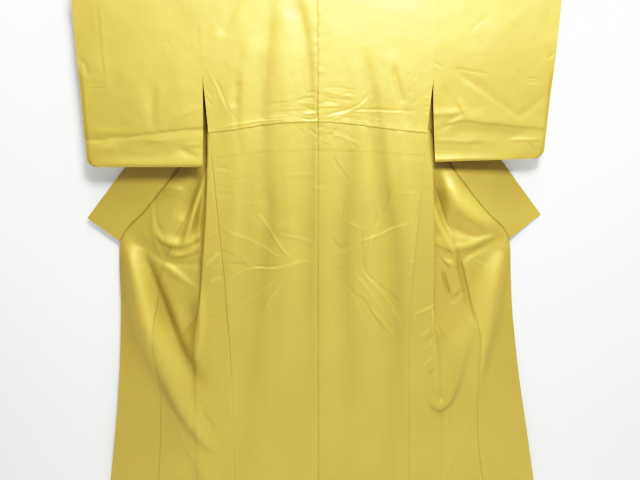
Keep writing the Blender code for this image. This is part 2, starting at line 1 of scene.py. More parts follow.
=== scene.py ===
# A plain gold silk kimono, hung on a bar with its back to the viewer and its fronts spread out against the wall.
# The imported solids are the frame. Every cloth piece is made again here as a fine sheet on the same lines.
# "across" is the distance from the centre back, positive on the viewer's right, "depth" the distance below
# the shoulder line, and a fold's height stands towards the viewer.
import math

import bpy
import numpy as np
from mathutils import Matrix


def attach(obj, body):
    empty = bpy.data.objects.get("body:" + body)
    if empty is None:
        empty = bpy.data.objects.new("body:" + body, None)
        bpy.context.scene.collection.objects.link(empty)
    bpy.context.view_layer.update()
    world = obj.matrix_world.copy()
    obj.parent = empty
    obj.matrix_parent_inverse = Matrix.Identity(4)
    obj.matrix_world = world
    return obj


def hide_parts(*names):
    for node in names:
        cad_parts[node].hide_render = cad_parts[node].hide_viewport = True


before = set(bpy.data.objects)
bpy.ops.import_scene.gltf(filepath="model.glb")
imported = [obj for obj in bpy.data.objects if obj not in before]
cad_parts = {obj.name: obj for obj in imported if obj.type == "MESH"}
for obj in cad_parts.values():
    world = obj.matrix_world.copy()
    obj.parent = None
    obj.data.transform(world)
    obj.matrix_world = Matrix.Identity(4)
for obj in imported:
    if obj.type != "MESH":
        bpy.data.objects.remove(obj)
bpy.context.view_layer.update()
print("frame loaded")

# Sizes that the cloth pieces share, in metres
kimono = {
    "backLength": 1.590,
    "shoulderWidth": 0.302,
    "frontWidth": 0.245,
    "neckHalfWidth": 0.085,
    "neckDrop": 0.030,
    "frontLift": 0.045,
    "okumiTipDepth": 0.250,
    "barZ": -0.105,
    "wrapRadius": 0.0113,
    "clothThickness": 0.0015,
}
wrapRadius = kimono["wrapRadius"]
wrapHalf = math.pi * wrapRadius / 2
shoulderZ = kimono["barZ"] + wrapRadius
signs = {"left": -1, "right": 1}

# Where the seams and fold edges of each spread front lie, by depth
sectionColumns = ("depth", "sideSeam", "foldEdge", "okumiSeam", "outerLine")
sections = {
    "left": [(0, 0.302, 0.294, 0.085, 0.085), (0.12, 0.302, 0.294, 0.15, 0.15),
        (0.24, 0.302, 0.294, 0.212, 0.2175), (0.33, 0.297, 0.2945, 0.245, 0.273),
        (0.42, 0.292, 0.299, 0.28, 0.331), (0.51, 0.287, 0.305, 0.316, 0.397), (0.62, 0.281, 0.314, 0.361, 0.49),
        (0.715, 0.276, 0.325, 0.416, 0.574), (0.8, 0.271, 0.335, 0.452, 0.583), (0.9, 0.268, 0.346, 0.476, 0.589),
        (1.02, 0.264, 0.366, 0.493, 0.602), (1.16, 0.264, 0.372, 0.486, 0.619),
        (1.35, 0.268, 0.376, 0.498, 0.648), (1.59, 0.272, 0.384, 0.524, 0.69)],
    "right": [(0, 0.302, 0.294, 0.085, 0.085), (0.12, 0.302, 0.294, 0.148, 0.148),
        (0.24, 0.302, 0.294, 0.208, 0.2135), (0.33, 0.296, 0.2935, 0.24, 0.266), (0.42, 0.289, 0.3, 0.274, 0.322),
        (0.51, 0.287, 0.315, 0.312, 0.383), (0.62, 0.281, 0.324, 0.356, 0.474),
        (0.707, 0.276, 0.33, 0.388, 0.553), (0.8, 0.272, 0.335, 0.424, 0.566), (0.9, 0.27, 0.338, 0.451, 0.578),
        (1.02, 0.271, 0.35, 0.484, 0.598), (1.16, 0.276, 0.366, 0.489, 0.624), (1.35, 0.284, 0.38, 0.503, 0.665),
        (1.59, 0.291, 0.394, 0.545, 0.716)],
}
collarEndDepth = {"left": 0.758, "right": 0.749}

# How far each layer of cloth stands from the bar's plane, by depth: negative is nearer the viewer
layerColumns = ("depth", "back", "sideEdge", "foldEdge", "first", "turn", "second", "okumiSeam", "outerLine",
                "folded")
layers = [
    (0, -0.0113, 0.0113, 0.0113, 0.0113, 0.0113, 0.0113, 0.0113, 0.0113, 1),
    (0.045, -0.0114, 0.0113, 0.0113, 0.0113, 0.0115, 0.0119, 0.013, 0.013, 1),
    (0.075, -0.0117, 0.0113, 0.0113, 0.0113, 0.0125, 0.016, 0.027, 0.027, 1),
    (0.11, -0.012, 0.0113, 0.0113, 0.0113, 0.0135, 0.0205, 0.024, 0.024, 1),
    (0.24, -0.0135, 0.01, 0.0102, 0.0105, 0.0135, 0.0205, 0.024, 0.025, 1),
    (0.33, -0.014, 0, 0.007, 0.009, 0.012, 0.019, 0.0225, 0.026, 1),
    (0.42, -0.014, -0.014, -0.0125, -0.0025, 0.003, 0.016, 0.02, 0.028, 1),
    (0.6, -0.014, -0.014, -0.013, -0.003, 0.0025, 0.015, 0.018, 0.033, 1),
    (0.83, -0.0132, -0.0132, -0.0105, -0.001, 0.0045, 0.014, 0.017, 0.036, 1),
    (0.96, -0.0125, -0.0125, -0.01, -0.003, 0.007, 0.013, 0.017, 0.036, 1),
    (1.01, -0.012, -0.012, -0.009, -0.0035, 0.007, 0.011, 0.016, 0.036, 0.5),
    (1.08, -0.011, -0.011, -0.0075, -0.001, 0.0035, 0.0055, 0.015, 0.035, 0),
    (1.35, -0.009, -0.009, -0.006, -0.002, 0.001, 0.002, 0.012, 0.03, 0),
    (1.59, -0.008, -0.008, -0.006, -0.002, 0, 0.001, 0.01, 0.026, 0),
]

# Large folds: rows of (across, depth, height, width on the inner side, width on the outer side),
# or one width for both sides, all in millimetres. On the fronts across counts outwards on both sides.
frontFolds = {
    "left": {
        "long ridge from the collar end": [(557, 724, 4.7, 26, 20), (544, 771, 20.2, 34, 28),
            (535, 827, 26.4, 40, 36), (521, 929, 29.5, 44, 42), (502, 1003, 29.5, 46, 44),
            (481, 1080, 27.9, 46, 42), (449, 1164, 27.9, 34, 36), (416, 1240, 24.8, 30, 32),
            (378, 1314, 20.2, 26, 28), (342, 1370, 7.7, 24, 22)],
        "valley on its inner side": [(513, 739, -1.5, 16, 22), (498, 790, -12.4, 18, 22),
            (483, 844, -18.6, 20, 24), (463, 914, -21.7, 22, 28), (443, 987, -23.2, 24, 30),
            (418, 1053, -20.2, 25, 30), (387, 1113, -12.4, 26, 28), (349, 1171, -3.1, 26, 26)],
        "ridge inside the okumi seam": [(313, 517, 1.5, 9, 10), (329, 563, 7.7, 11, 10), (345, 609, 12.4, 12, 10),
            (363, 657, 12.4, 13, 10), (377, 693, 7.7, 14, 11), (388, 719, 1.5, 14, 12)],
        "hollow beside the strip": [(320, 536, -0.9, 9, 11), (331, 589, -4.7, 10, 12), (338, 648, -7.7, 10, 12),
            (341, 707, -6.8, 10, 12), (346, 761, -4, 10, 12), (350, 827, -0.9, 10, 12)],
        "hollow outside that seam": [(328, 513, -3.1, 12, 20), (350, 566, -9.3, 12, 22), (369, 615, -10.9, 12, 22),
            (388, 656, -1.5, 14, 20)],
        "crease down to the swag": [(464, 559, -0.3, 5, 7), (466, 603, -1.1, 5, 7), (464, 642, -1.5, 5, 8),
            (451, 686, -1.9, 5, 8), (433, 720, -0.6, 5, 7)],
        "upper swag": [(342, 699, 1.5, 8, 14), (366, 712, 4.7, 8, 14), (387, 718, 6.2, 8, 15),
            (408, 720, 9.3, 8, 17), (427, 718, 9.3, 8, 18), (443, 712, 7.7, 8, 17), (454, 702, 5.3, 9, 15),
            (466, 688, 0.9, 9, 14)],
        "lower swag": [(324, 715, 0.9, 7, 9), (348, 734, 3.7, 7, 10), (375, 748, 5.6, 7, 11),
            (402, 754, 6.5, 7, 12), (424, 751, 4.7, 7, 12), (440, 744, 0.9, 7, 10)],
        "dark hollow under the swags": [(539, 715, -0.6, 20, 8), (498, 736, -2.3, 30, 9), (462, 761, -3.7, 34, 10),
            (429, 775, -4.3, 34, 10), (391, 778, -3.4, 32, 10), (357, 781, -2.5, 26, 10),
            (328, 781, -0.8, 22, 10)],
        "patch beside the collar seam": [(437, 568, 0.8, 10, 12), (417, 562, 4.7, 10, 14), (394, 563, 4.7, 11, 14),
            (374, 570, 0.8, 10, 12)],
        "lobe beside the long valley": [(444, 787, 0.9, 9, 12), (424, 800, 4.7, 10, 13), (401, 818, 5.6, 12, 13),
            (379, 836, 3.1, 12, 12), (360, 850, 0.6, 10, 11)],
        "dark bowl": [(398, 890, -3.1, 24, 26), (382, 935, -9.3, 26, 28), (378, 989, -9.3, 26, 30),
            (387, 1030, -3.1, 24, 26)],
        "ridge along the strip": [(336, 785, 0.8, 9, 16), (341, 860, 6.2, 10, 20), (347, 938, 9.3, 11, 22),
            (355, 1003, 7.7, 12, 24), (367, 1060, 3.1, 12, 22)],
        "soft ridge to the hem": [(423, 1308, 1.5, 24, 20), (397, 1397, 4.7, 26, 22), (364, 1476, 6.2, 28, 24),
            (331, 1571, 6.2, 30, 26), (292, 1684, 4.7, 30, 26)],
    },
    "right": {
        "bright lobe inside the collar seam": [(342, 513, 1.2, 24, 22), (357, 533, 7, 28, 26),
            (375, 559, 15.5, 28, 30), (398, 595, 20.2, 28, 30), (422, 619, 20.2, 24, 28), (452, 644, 17, 20, 26),
            (489, 667, 10.9, 15, 22), (517, 687, 2.3, 12, 18)],
        "hollow under that lobe": [(326, 589, -3.1, 20, 26), (356, 638, -7.7, 20, 26), (391, 674, -9.3, 16, 26),
            (430, 693, -6.2, 12, 20), (457, 696, -1.5, 10, 14)],
        "hollow beside the strip": [(328, 509, -3.1, 14, 20), (331, 538, -10.9, 14, 22), (335, 567, -14, 14, 22),
            (341, 596, -14, 13, 20), (349, 624, -9.3, 9, 14), (359, 657, -4.7, 8, 9), (374, 691, -1.5, 7, 8)],
        "crest inside the okumi seam": [(327, 613, 1.5, 18, 6), (337, 633, 5.3, 18, 6), (355, 670, 7.1, 18, 6),
            (373, 703, 7.7, 16, 6), (391, 736, 6.8, 14, 6), (403, 768, 4, 12, 6), (416, 805, 0.9, 12, 6)],
        "ridge across to the collar end": [(387, 730, 2.5, 10, 12), (406, 730, 5, 10, 12), (428, 729, 5.9, 10, 12),
            (451, 723, 5.6, 9, 12), (473, 712, 5, 9, 11), (497, 702, 4, 8, 10), (520, 693, 0.8, 8, 9)],
        "hollow under the ridge": [(501, 715, -0.6, 16, 10), (479, 731, -2.5, 24, 10), (450, 745, -4, 30, 11),
            (425, 760, -4.7, 28, 11), (414, 784, -4, 11, 10), (419, 808, -0.6, 9, 9)],
        "crest over the wedge": [(334, 712, 3.1, 12, 22), (349, 716, 5.3, 12, 22), (367, 725, 6.2, 12, 20),
            (385, 735, 4, 11, 16), (399, 743, 0.8, 10, 12)],
        "long ridge from the collar end": [(540, 743, 6.2, 28, 18), (528, 790, 17, 34, 22),
            (518, 859, 23.2, 42, 24), (511, 932, 21.7, 54, 26), (503, 996, 21.7, 54, 26),
            (495, 1063, 18.6, 50, 24), (487, 1146, 10.9, 42, 22), (481, 1220, 1.5, 34, 20)],
        "rim of the bag": [(327, 1157, 0.8, 14, 22), (340, 1187, 7.7, 16, 23), (355, 1216, 15.5, 17, 24),
            (373, 1228, 18.6, 17, 25), (393, 1215, 17, 17, 26), (410, 1178, 14, 17, 28), (422, 1134, 11.5, 17, 30),
            (432, 1085, 9.3, 18, 30), (440, 1036, 7.1, 18, 30), (447, 988, 4, 18, 28), (452, 947, 0.8, 18, 26)],
        "cloth in the bag": [(413, 984, 0.9, 24, 26), (406, 1032, 3.1, 24, 26), (397, 1081, 4.7, 23, 25),
            (386, 1149, 4, 21, 23), (381, 1185, 1.9, 20, 20), (379, 1203, 0.3, 18, 18)],
        "groove along the okumi seam": [(400, 755, -1.5, 8, 7), (411, 783, -7.7, 9, 7), (422, 818, -9.3, 9, 7),
            (437, 872, -7.7, 9, 7), (452, 924, -6.2, 9, 7), (465, 960, -1.5, 9, 7)],
        "dark beside the wedge": [(361, 786, -0.6, 5, 7), (365, 809, -2.8, 6, 8), (374, 843, -4, 6, 8),
            (384, 874, -3.9, 7, 8), (394, 893, -3.1, 8, 9), (403, 890, -2.8, 8, 10), (413, 879, -2.5, 8, 10),
            (423, 866, -0.6, 8, 9)],
        "lobe under the wedge": [(362, 769, 1.5, 7, 9), (380, 776, 4.7, 7, 9), (397, 787, 1.5, 7, 9)],
        "crease on the bright cloth": [(450, 767, 0.3, 3, 4), (466, 777, 1.5, 3, 5), (480, 785, 0.3, 3, 4)],
        "soft ridge to the hem": [(445, 1326, 1.5, 20, 22), (433, 1397, 4.7, 22, 24), (416, 1476, 6.2, 24, 26),
            (400, 1571, 6.2, 26, 28), (385, 1684, 4.7, 26, 28)],
    },
}
backFolds = {
    "long hollow on the right": [(118, 176, -0.5, 14, 14), (133, 258, -5, 16, 16), (150, 326, -7, 17, 17),
        (164, 432, -9, 17, 18), (177, 521, -9.5, 17, 18), (194, 611, -9.5, 18, 20), (220, 727, -8, 21, 22),
        (231, 878, -7.5, 23, 23), (240, 1038, -6.5, 23, 23), (237, 1205, -4.5, 25, 25), (225, 1418, -3, 28, 28),
        (222, 1724, -1, 28, 28)],
    "hollow on the left of the seam": [(-60, 49, -4, 18, 16), (-46, 96, -6, 19, 16), (-33, 159, -6.5, 20, 15),
        (-24, 250, -6, 20, 14), (-19, 339, -5, 21, 13), (-19, 445, -5, 22, 13), (-20, 611, -5, 22, 13),
        (-23, 757, -5, 22, 14), (-21, 941, -3.5, 21, 14), (-19, 1205, -2, 20, 13), (-20, 1492, 0, 20, 13)],
    "long hollow on the left": [(-116, 56, -4, 18, 18), (-132, 188, -6.5, 19, 19), (-144, 288, -6.5, 20, 20),
        (-146, 445, -5, 22, 22), (-143, 541, -6, 22, 22), (-137, 617, -7, 20, 20), (-150, 727, -7, 23, 22),
        (-169, 878, -6, 24, 23), (-191, 1038, -4.5, 26, 26), (-215, 1222, -3, 27, 27), (-239, 1455, -1.5, 30, 30)],
    "hollow right of the seam": [(93, 365, -1, 15), (89, 458, -4, 18), (85, 555, -6, 19), (78, 668, -7, 19),
        (79, 787, -7, 19), (87, 941, -5.5, 20), (92, 1104, -4, 22), (92, 1310, -2, 22), (92, 1568, -1, 24)],
    "crest right of the seam": [(41, 139, 1, 21), (39, 288, 2, 21), (32, 472, 2.5, 19), (27, 697, 3, 18),
        (28, 910, 3, 18), (32, 1205, 2, 21)],
    "crest between the right hollows": [(101, 237, 1.5, 22), (120, 418, 3, 22), (137, 583, 4, 22),
        (153, 757, 4, 22), (160, 941, 3, 24), (167, 1205, 2, 27)],
    "crest between the left hollows": [(-81, 115, 2, 22), (-84, 288, 3, 24), (-79, 472, 3, 25), (-76, 668, 4, 24),
        (-85, 878, 3, 25), (-98, 1137, 2, 27)],
    "outer crest, left": [(-181, 139, 2, 27), (-197, 288, 3, 27), (-226, 555, 3, 21), (-242, 757, 3, 21),
        (-254, 973, 2, 21)],
    "outer crest, right": [(191, 213, 2, 18, 24), (218, 365, 4, 18, 24), (246, 527, 5, 19, 22),
        (269, 697, 5, 19, 19), (286, 878, 4, 19, 18), (298, 1070, 2, 18, 18)],
    "small hollow, upper right": [(197, 228, -1, 7, 8), (206, 273, -3, 7, 8), (221, 324, -3, 7, 8),
        (239, 371, -1, 7, 8)],
    "small hollow, upper left": [(-201, 188, -1, 12), (-215, 288, -2.5, 12), (-214, 392, -3, 12),
        (-209, 467, -1, 12)],
}
sleeveFolds = {
    "left": {
        "long crease": [(-635, 420, -1.5, 8.2, 6), (-591, 417, -1.5, 8.2, 6), (-551, 412, -1.3, 8.2, 5.5),
            (-505, 409, -1.2, 8.2, 4.9), (-464, 405, -1, 8.2, 4.4), (-429, 401, -1.2, 10.9, 4.1),
            (-375, 394, -1.4, 13.7, 3.8), (-343, 392, -1.5, 16.4, 3.5), (-308, 389, -1.4, 16.4, 3.5)],
        "rise above it": [(-605, 395, 0.3, 10.9), (-549, 397, 0.9, 10.9), (-490, 392, 0.2, 10.9)],
        "corner crease": [(-616, 478, 0.2, 5.5, 10.9), (-596, 459, 1.2, 5.5, 13.7), (-575, 443, 1.4, 5.5, 13.7),
            (-553, 441, 0.8, 6.8, 13.7), (-532, 443, 0.1, 6.8, 10.9)],
        "bottom edge": [(-598, 480, 0.3, 13.7, 10.9), (-544, 483, 2, 13.7, 13.7), (-484, 483, 2.2, 13.7, 13.7),
            (-430, 483, 2.6, 13.7, 16.4), (-375, 482, 3.4, 13.7, 24.6), (-334, 482, 3.8, 13.7, 30),
            (-307, 480, 3.4, 13.7, 30)],
        "slant above the bottom edge": [(-383, 437, -0.1, 8.2), (-362, 448, -0.9, 8.2), (-339, 459, -0.9, 8.2),
            (-317, 468, -0.2, 8.2)],
        "faint line": [(-457, 422, 0.1, 3.8, 4.6), (-425, 420, 0.5, 3.8, 4.9), (-390, 418, 0.1, 3.8, 4.6)],
        "light by the inner edge": [(-361, 433, 0.1, 5.5, 5.5), (-340, 431, 0.8, 5.5, 7.1),
            (-315, 429, 0.4, 5.5, 6.6)],
        "soft hollow": [(-485, 434, -0.2, 10.9), (-458, 436, -0.8, 10.9), (-432, 437, -0.2, 10.9)],
        "upright hollow": [(-435, 273, -0.3, 13.7), (-439, 324, -1.3, 13.7), (-440, 376, -0.4, 13.7)],
        "soft slant": [(-378, 358, 0.1, 8.2), (-345, 345, 0.7, 8.2), (-315, 332, 0.2, 8.2)],
    },
    "right": {
        "long crease": [(316, 391, 0.3, 4.4, 10.9), (340, 377, 1.2, 4.4, 13.7), (361, 371, 1.5, 4.4, 16.4),
            (381, 366, 1.7, 4.4, 21.8), (405, 366, 1.8, 4.4, 24.6), (437, 371, 1.7, 4.6, 27.3),
            (493, 375, 1.5, 4.6, 24.6), (542, 381, 1.4, 4.6, 21.8), (620, 388, 1, 4.6, 21.8)],
        "hollow under the crease": [(347, 395, -0.3, 16.4, 13.7), (385, 395, -1, 16.4, 16.4),
            (433, 397, -1.2, 19.1, 16.4), (487, 402, -1, 19.1, 16.4), (536, 405, -1, 16.4, 13.7),
            (568, 408, -0.1, 13.7, 13.7)],
        "valley to the inner edge": [(384, 346, -0.2, 5.5, 8.2), (364, 360, -1.4, 8.2, 10.9),
            (341, 376, -1.4, 8.2, 10.9), (318, 391, -0.4, 8.2, 8.2)],
        "short ridge": [(305, 350, 1.4, 8.2, 13.7), (337, 349, 1.4, 8.2, 13.7), (363, 348, 1.1, 8.2, 10.9),
            (384, 344, 0.2, 5.5, 8.2)],
        "stroke": [(365, 310, 0.1, 3.5, 8.2), (377, 327, 1.3, 3.5, 10.9), (387, 345, 1.3, 3.5, 10.9),
            (396, 363, 0.2, 3.5, 8.2)],
        "long slant": [(348, 235, -0.1, 5.5, 8.2), (376, 253, -0.8, 5.5, 10.9), (408, 274, -1.2, 5.5, 16.4),
            (441, 295, -1.1, 5.5, 16.4), (475, 318, -0.6, 5.5, 13.7), (511, 342, -0.5, 5.5, 10.9),
            (554, 373, -0.2, 5.5, 10.9)],
        "outer slant": [(607, 293, -0.2, 10.9), (578, 321, -0.6, 10.9), (553, 345, -0.6, 10.9),
            (517, 373, -0.1, 10.9)],
        "bottom edge": [(309, 478, 2.6, 13.7, 13.7), (372, 480, 3.2, 13.7, 16.4), (426, 480, 2.8, 13.7, 16.4),
            (466, 478, 1.2, 13.7, 13.7), (499, 475, 0.1, 13.7, 13.7)],
        "light line outside": [(518, 420, 0.1, 3.8, 4.6), (542, 419, 0.7, 3.8, 5.2), (575, 419, 0.7, 3.8, 5.2),
            (607, 418, 0.1, 3.8, 4.6)],
        "light line inside": [(311, 421, 0.2, 4.6, 6), (354, 423, 0.6, 4.6, 6.8), (408, 423, 0.5, 4.6, 6.8),
            (459, 422, 0.1, 4.6, 6)],
        "small hollow": [(406, 434, -0.1, 8.2), (428, 434, -0.8, 8.2), (449, 434, -0.1, 8.2)],
        "corner stroke": [(564, 425, -0.1, 3.5, 4.6), (579, 440, -0.8, 3.5, 4.9), (594, 456, -0.1, 3.5, 4.6)],
        "corner turning back": [(513, 453, 0.2, 21.8, 32.8), (558, 445, 1.2, 21.8, 32.8),
            (614, 432, 1.6, 21.8, 32.8)],
        "slack by the seam": [(325, 273, -0.1, 10.9), (339, 301, -0.9, 10.9), (354, 329, -0.2, 10.9)],
    },
}

# Creases and soft swells: (height, width, then across and depth of each point), in millimetres
backCreases = [
    # the left star, with the lines into it and from it
    (1.15, 3.2, -173, 621, -155, 640, -126, 688, -99, 728, -75, 755),
    (0.8, 3.2, -275, 659, -238, 681, -192, 698, -155, 720, -123, 742, -80, 754),
    (0.8, 3, -119, 681, -79, 688, -37, 698, -4, 715), (0.46, 2.6, -47, 715, -29, 730, -9, 747),
    (1.15, 3.4, -277, 833, -248, 810, -219, 792, -185, 783, -147, 785, -109, 780, -71, 770, -43, 762, -1, 772),
    (-0.69, 2.8, -195, 775, -160, 778, -132, 776, -98, 769), (-0.57, 2.6, -81, 790, -44, 783, -4, 784),
    (-0.92, 3, -281, 729, -261, 735, -236, 744), (-1.03, 3.2, -277, 767, -232, 768, -204, 775),
    (0.57, 2.8, -272, 845, -257, 827, -242, 812), (0.46, 2.8, -268, 879, -255, 864, -243, 848),
    (0.57, 3, -222, 737, -206, 760, -185, 780), (0.92, 3.6, -81, 790, -115, 838, -142, 879, -160, 916),
    (0.57, 3.4, -84, 787, -129, 823, -183, 864, -238, 905, -258, 937), (0.35, 3, -78, 583, -97, 611, -125, 650),
    (0.3, 2.6, -93, 640, -110, 660, -124, 678),
    # thin lines under the tuck, left
    (0.6, 2.4, -104, 516, -55, 513, -3, 513), (-0.4, 2.6, -247, 527, -214, 523, -182, 520),
    (-0.45, 3.4, -198, 588, -166, 582, -128, 576),
    # down from the left arm
    (-0.6, 2.6, -282, 246, -257, 285, -242, 331, -223, 352, -202, 371),
    (0.5, 3, -294, 228, -272, 268, -254, 314, -234, 347), (-0.45, 2.4, -298, 278, -284, 298, -274, 311),
    (-0.5, 2.4, -299, 302, -289, 316, -280, 331), (0.4, 2.6, -239, 331, -218, 354, -199, 371),
    # small uprights and puckers by the seam
    (-0.55, 2.2, -75, 229, -71, 250, -66, 270), (-0.6, 2.2, -37, 246, -39, 268, -33, 302),
    (-0.8, 2.4, -32, 297, -16, 293, -3, 293), (-0.7, 2.4, -58, 315, -32, 309, -3, 309),
    (-0.8, 2.6, -40, 330, -21, 336, -3, 341), (0.9, 3, -40, 350, -22, 349, -3, 349),
    (-0.9, 2.8, -48, 360, -24, 364, -3, 361), (0.6, 2.6, -53, 322, -27, 323, -3, 325),
    # long level lines over the tuck, left
    (-0.4, 2.2, -142, 327, -106, 323, -69, 318), (-0.4, 2.2, -125, 345, -88, 343, -48, 342),
    (0.5, 2.6, -149, 360, -112, 357, -77, 354), (-0.35, 2.2, -112, 336, -74, 333, -45, 329),
    (0.7, 2.8, -271, 387, -235, 380, -197, 374, -149, 368, -107, 364, -48, 362),
    # below the tuck at the seam, and puckers on its right
    (-0.6, 2.4, -51, 387, -43, 397, -34, 409), (-0.8, 2.6, -24, 387, -14, 396, -2, 409),
    (-0.5, 2.2, 8, 284, 52, 282, 79, 286, 110, 290), (-0.6, 2.2, 8, 298, 37, 310, 66, 312, 99, 319),
    (0.5, 2.4, 10, 291, 42, 297, 71, 302, 100, 310), (-0.5, 2.2, 52, 300, 71, 297, 89, 293),
    (-0.6, 2.4, 8, 314, 31, 318, 53, 324), (0.45, 2.4, 8, 330, 37, 329, 61, 332),
    # slants, right
    (-0.7, 2.6, 136, 294, 119, 314, 102, 327, 76, 339, 37, 348, 8, 351),
    (0.6, 2.6, 143, 297, 126, 317, 107, 332, 79, 345, 42, 355, 10, 359), (0.5, 2.4, 145, 305, 139, 316, 131, 328),
    (-0.5, 2.2, 105, 327, 114, 333, 123, 338), (0.6, 2.6, 34, 368, 63, 354, 91, 342),
    (0.5, 2.4, 119, 366, 132, 375, 145, 384),
    # long level line, right
    (-0.9, 2.4, 71, 341, 126, 338, 185, 339, 229, 341, 273, 344),
    (0.5, 2.4, 85, 345, 138, 343, 191, 344, 238, 347), (-0.45, 2.2, 132, 354, 151, 358, 170, 361),
    # crinkles and curls at the right arm
    (-0.5, 2.2, 202, 243, 198, 253, 193, 263), (-0.5, 2.2, 240, 245, 234, 253, 229, 260),
    (-0.6, 2.2, 253, 268, 246, 283, 239, 298), (0.5, 2.4, 261, 258, 251, 275, 246, 291),
    (-0.5, 2.6, 282, 288, 267, 306, 252, 325), (0.4, 2.4, 293, 273, 278, 291, 262, 311),
    (0.6, 2.2, 279, 310, 287, 307, 295, 313), (-0.7, 2.2, 280, 332, 288, 331, 296, 334),
    (-0.7, 2.2, 281, 344, 289, 342, 297, 345),
    # under the tuck, right
    (0.7, 2.4, 32, 411, 51, 407, 68, 410, 90, 421, 122, 434), (-0.6, 2.2, 24, 396, 37, 410, 51, 425),
    (0.5, 2.2, 67, 412, 85, 429, 100, 450), (-0.6, 2.4, 53, 386, 40, 399, 26, 413),
    (0.5, 2.4, 13, 418, 35, 429, 48, 445), (0.4, 2.2, 72, 387, 85, 397, 102, 412),
    # slants below the pressed line
    (-0.8, 2.6, 40, 460, 50, 481, 68, 509, 82, 532), (0.55, 2.8, 48, 458, 58, 479, 75, 506, 88, 528),
    # the right star
    (-0.8, 3, 194, 548, 194, 566, 191, 588, 187, 611, 179, 635), (-0.81, 2.8, 166, 611, 161, 637, 155, 663),
    (1.08, 3, 159, 679, 150, 698, 143, 720), (0.81, 2.8, 171, 646, 164, 666, 157, 683),
    (1.08, 3.2, 275, 645, 229, 659, 192, 674, 160, 688, 127, 698, 104, 707),
    (0.81, 2.4, 60, 597, 63, 614, 67, 633, 89, 652, 122, 664, 137, 662),
    (-0.74, 2.6, 117, 649, 122, 688, 127, 736, 136, 777),
    # dimple and its rim
    (-0.7, 5.5, 39, 686, 50, 710, 70, 722, 84, 698), (0.5, 3, 33, 716, 53, 735, 79, 736, 94, 716),
    # bundle of folds from the right star
    (1.62, 3.8, 124, 772, 139, 808, 168, 838, 193, 869, 218, 904, 239, 942, 251, 974),
    (-1.22, 3.2, 124, 745, 132, 781, 145, 804, 162, 821),
    (1.22, 3.4, 94, 796, 125, 823, 155, 864, 180, 900, 195, 929),
    (-1.35, 3.2, 87, 827, 94, 843, 109, 862, 136, 884, 160, 926, 186, 963, 215, 1001),
    (1.49, 3.4, 149, 895, 165, 919, 181, 937, 205, 967, 230, 1003), (-0.81, 4.4, 168, 821, 201, 854, 246, 887),
    (0.81, 3.2, 101, 869, 122, 916, 130, 963), (0.81, 3.2, 125, 936, 152, 974, 180, 1011),
    # lower ridges, faint level lines, and the right side seam
    (1.08, 3, 30, 948, 49, 974, 74, 1009, 94, 1039), (0.68, 3, 58, 955, 82, 989, 103, 1016),
    (-0.47, 2.6, 25, 787, 51, 786, 76, 787), (0.47, 2.4, 206, 562, 239, 562, 271, 564),
    (1.08, 2.6, 257, 769, 266, 762, 277, 761), (0.54, 2.4, 248, 795, 266, 801, 280, 802),
    (-0.54, 2.4, 249, 807, 266, 812, 280, 813),
    # crinkles at the left edge, and a crease low on the right
    (-0.61, 2.2, -283, 494, -262, 493, -240, 496), (0.54, 2.2, -282, 505, -262, 505, -238, 507),
    (-0.54, 2.2, -283, 545, -261, 544, -239, 547), (-0.54, 2.4, -282, 567, -259, 566, -227, 570),
    (-0.4, 2.4, -280, 592, -255, 591, -216, 593), (-0.35, 2.4, -278, 614, -253, 613, -223, 615),
    (0.35, 3, 236, 1013, 219, 1045, 197, 1091),
]
backSwells = [
    # troughs under the arms
    (-2.2, 14, -196, 32, -205, 68, -233, 120, -249, 161), (-1.6, 12, -209, 263, -216, 301, -223, 334),
    (-2, 10, 201, 223, 202, 258, 218, 299, 231, 329),
    # by the right star
    (-2.2, 16, 76, 757, 68, 848, 52, 942), (2, 24, 218, 763, 230, 848, 244, 910),
    # long waves below
    (-2.6, 26, -225, 1071, -239, 1206, -257, 1347, -272, 1494),
    (2.2, 22, -142, 974, -155, 1138, -165, 1311, -180, 1494),
    (-2.6, 24, 100, 1022, 96, 1172, 104, 1311, 120, 1494), (2.4, 26, 195, 1022, 193, 1172, 210, 1311, 228, 1494),
    # over the left star
    (1.4, 20, -205, 663, -135, 657, -51, 669),
]
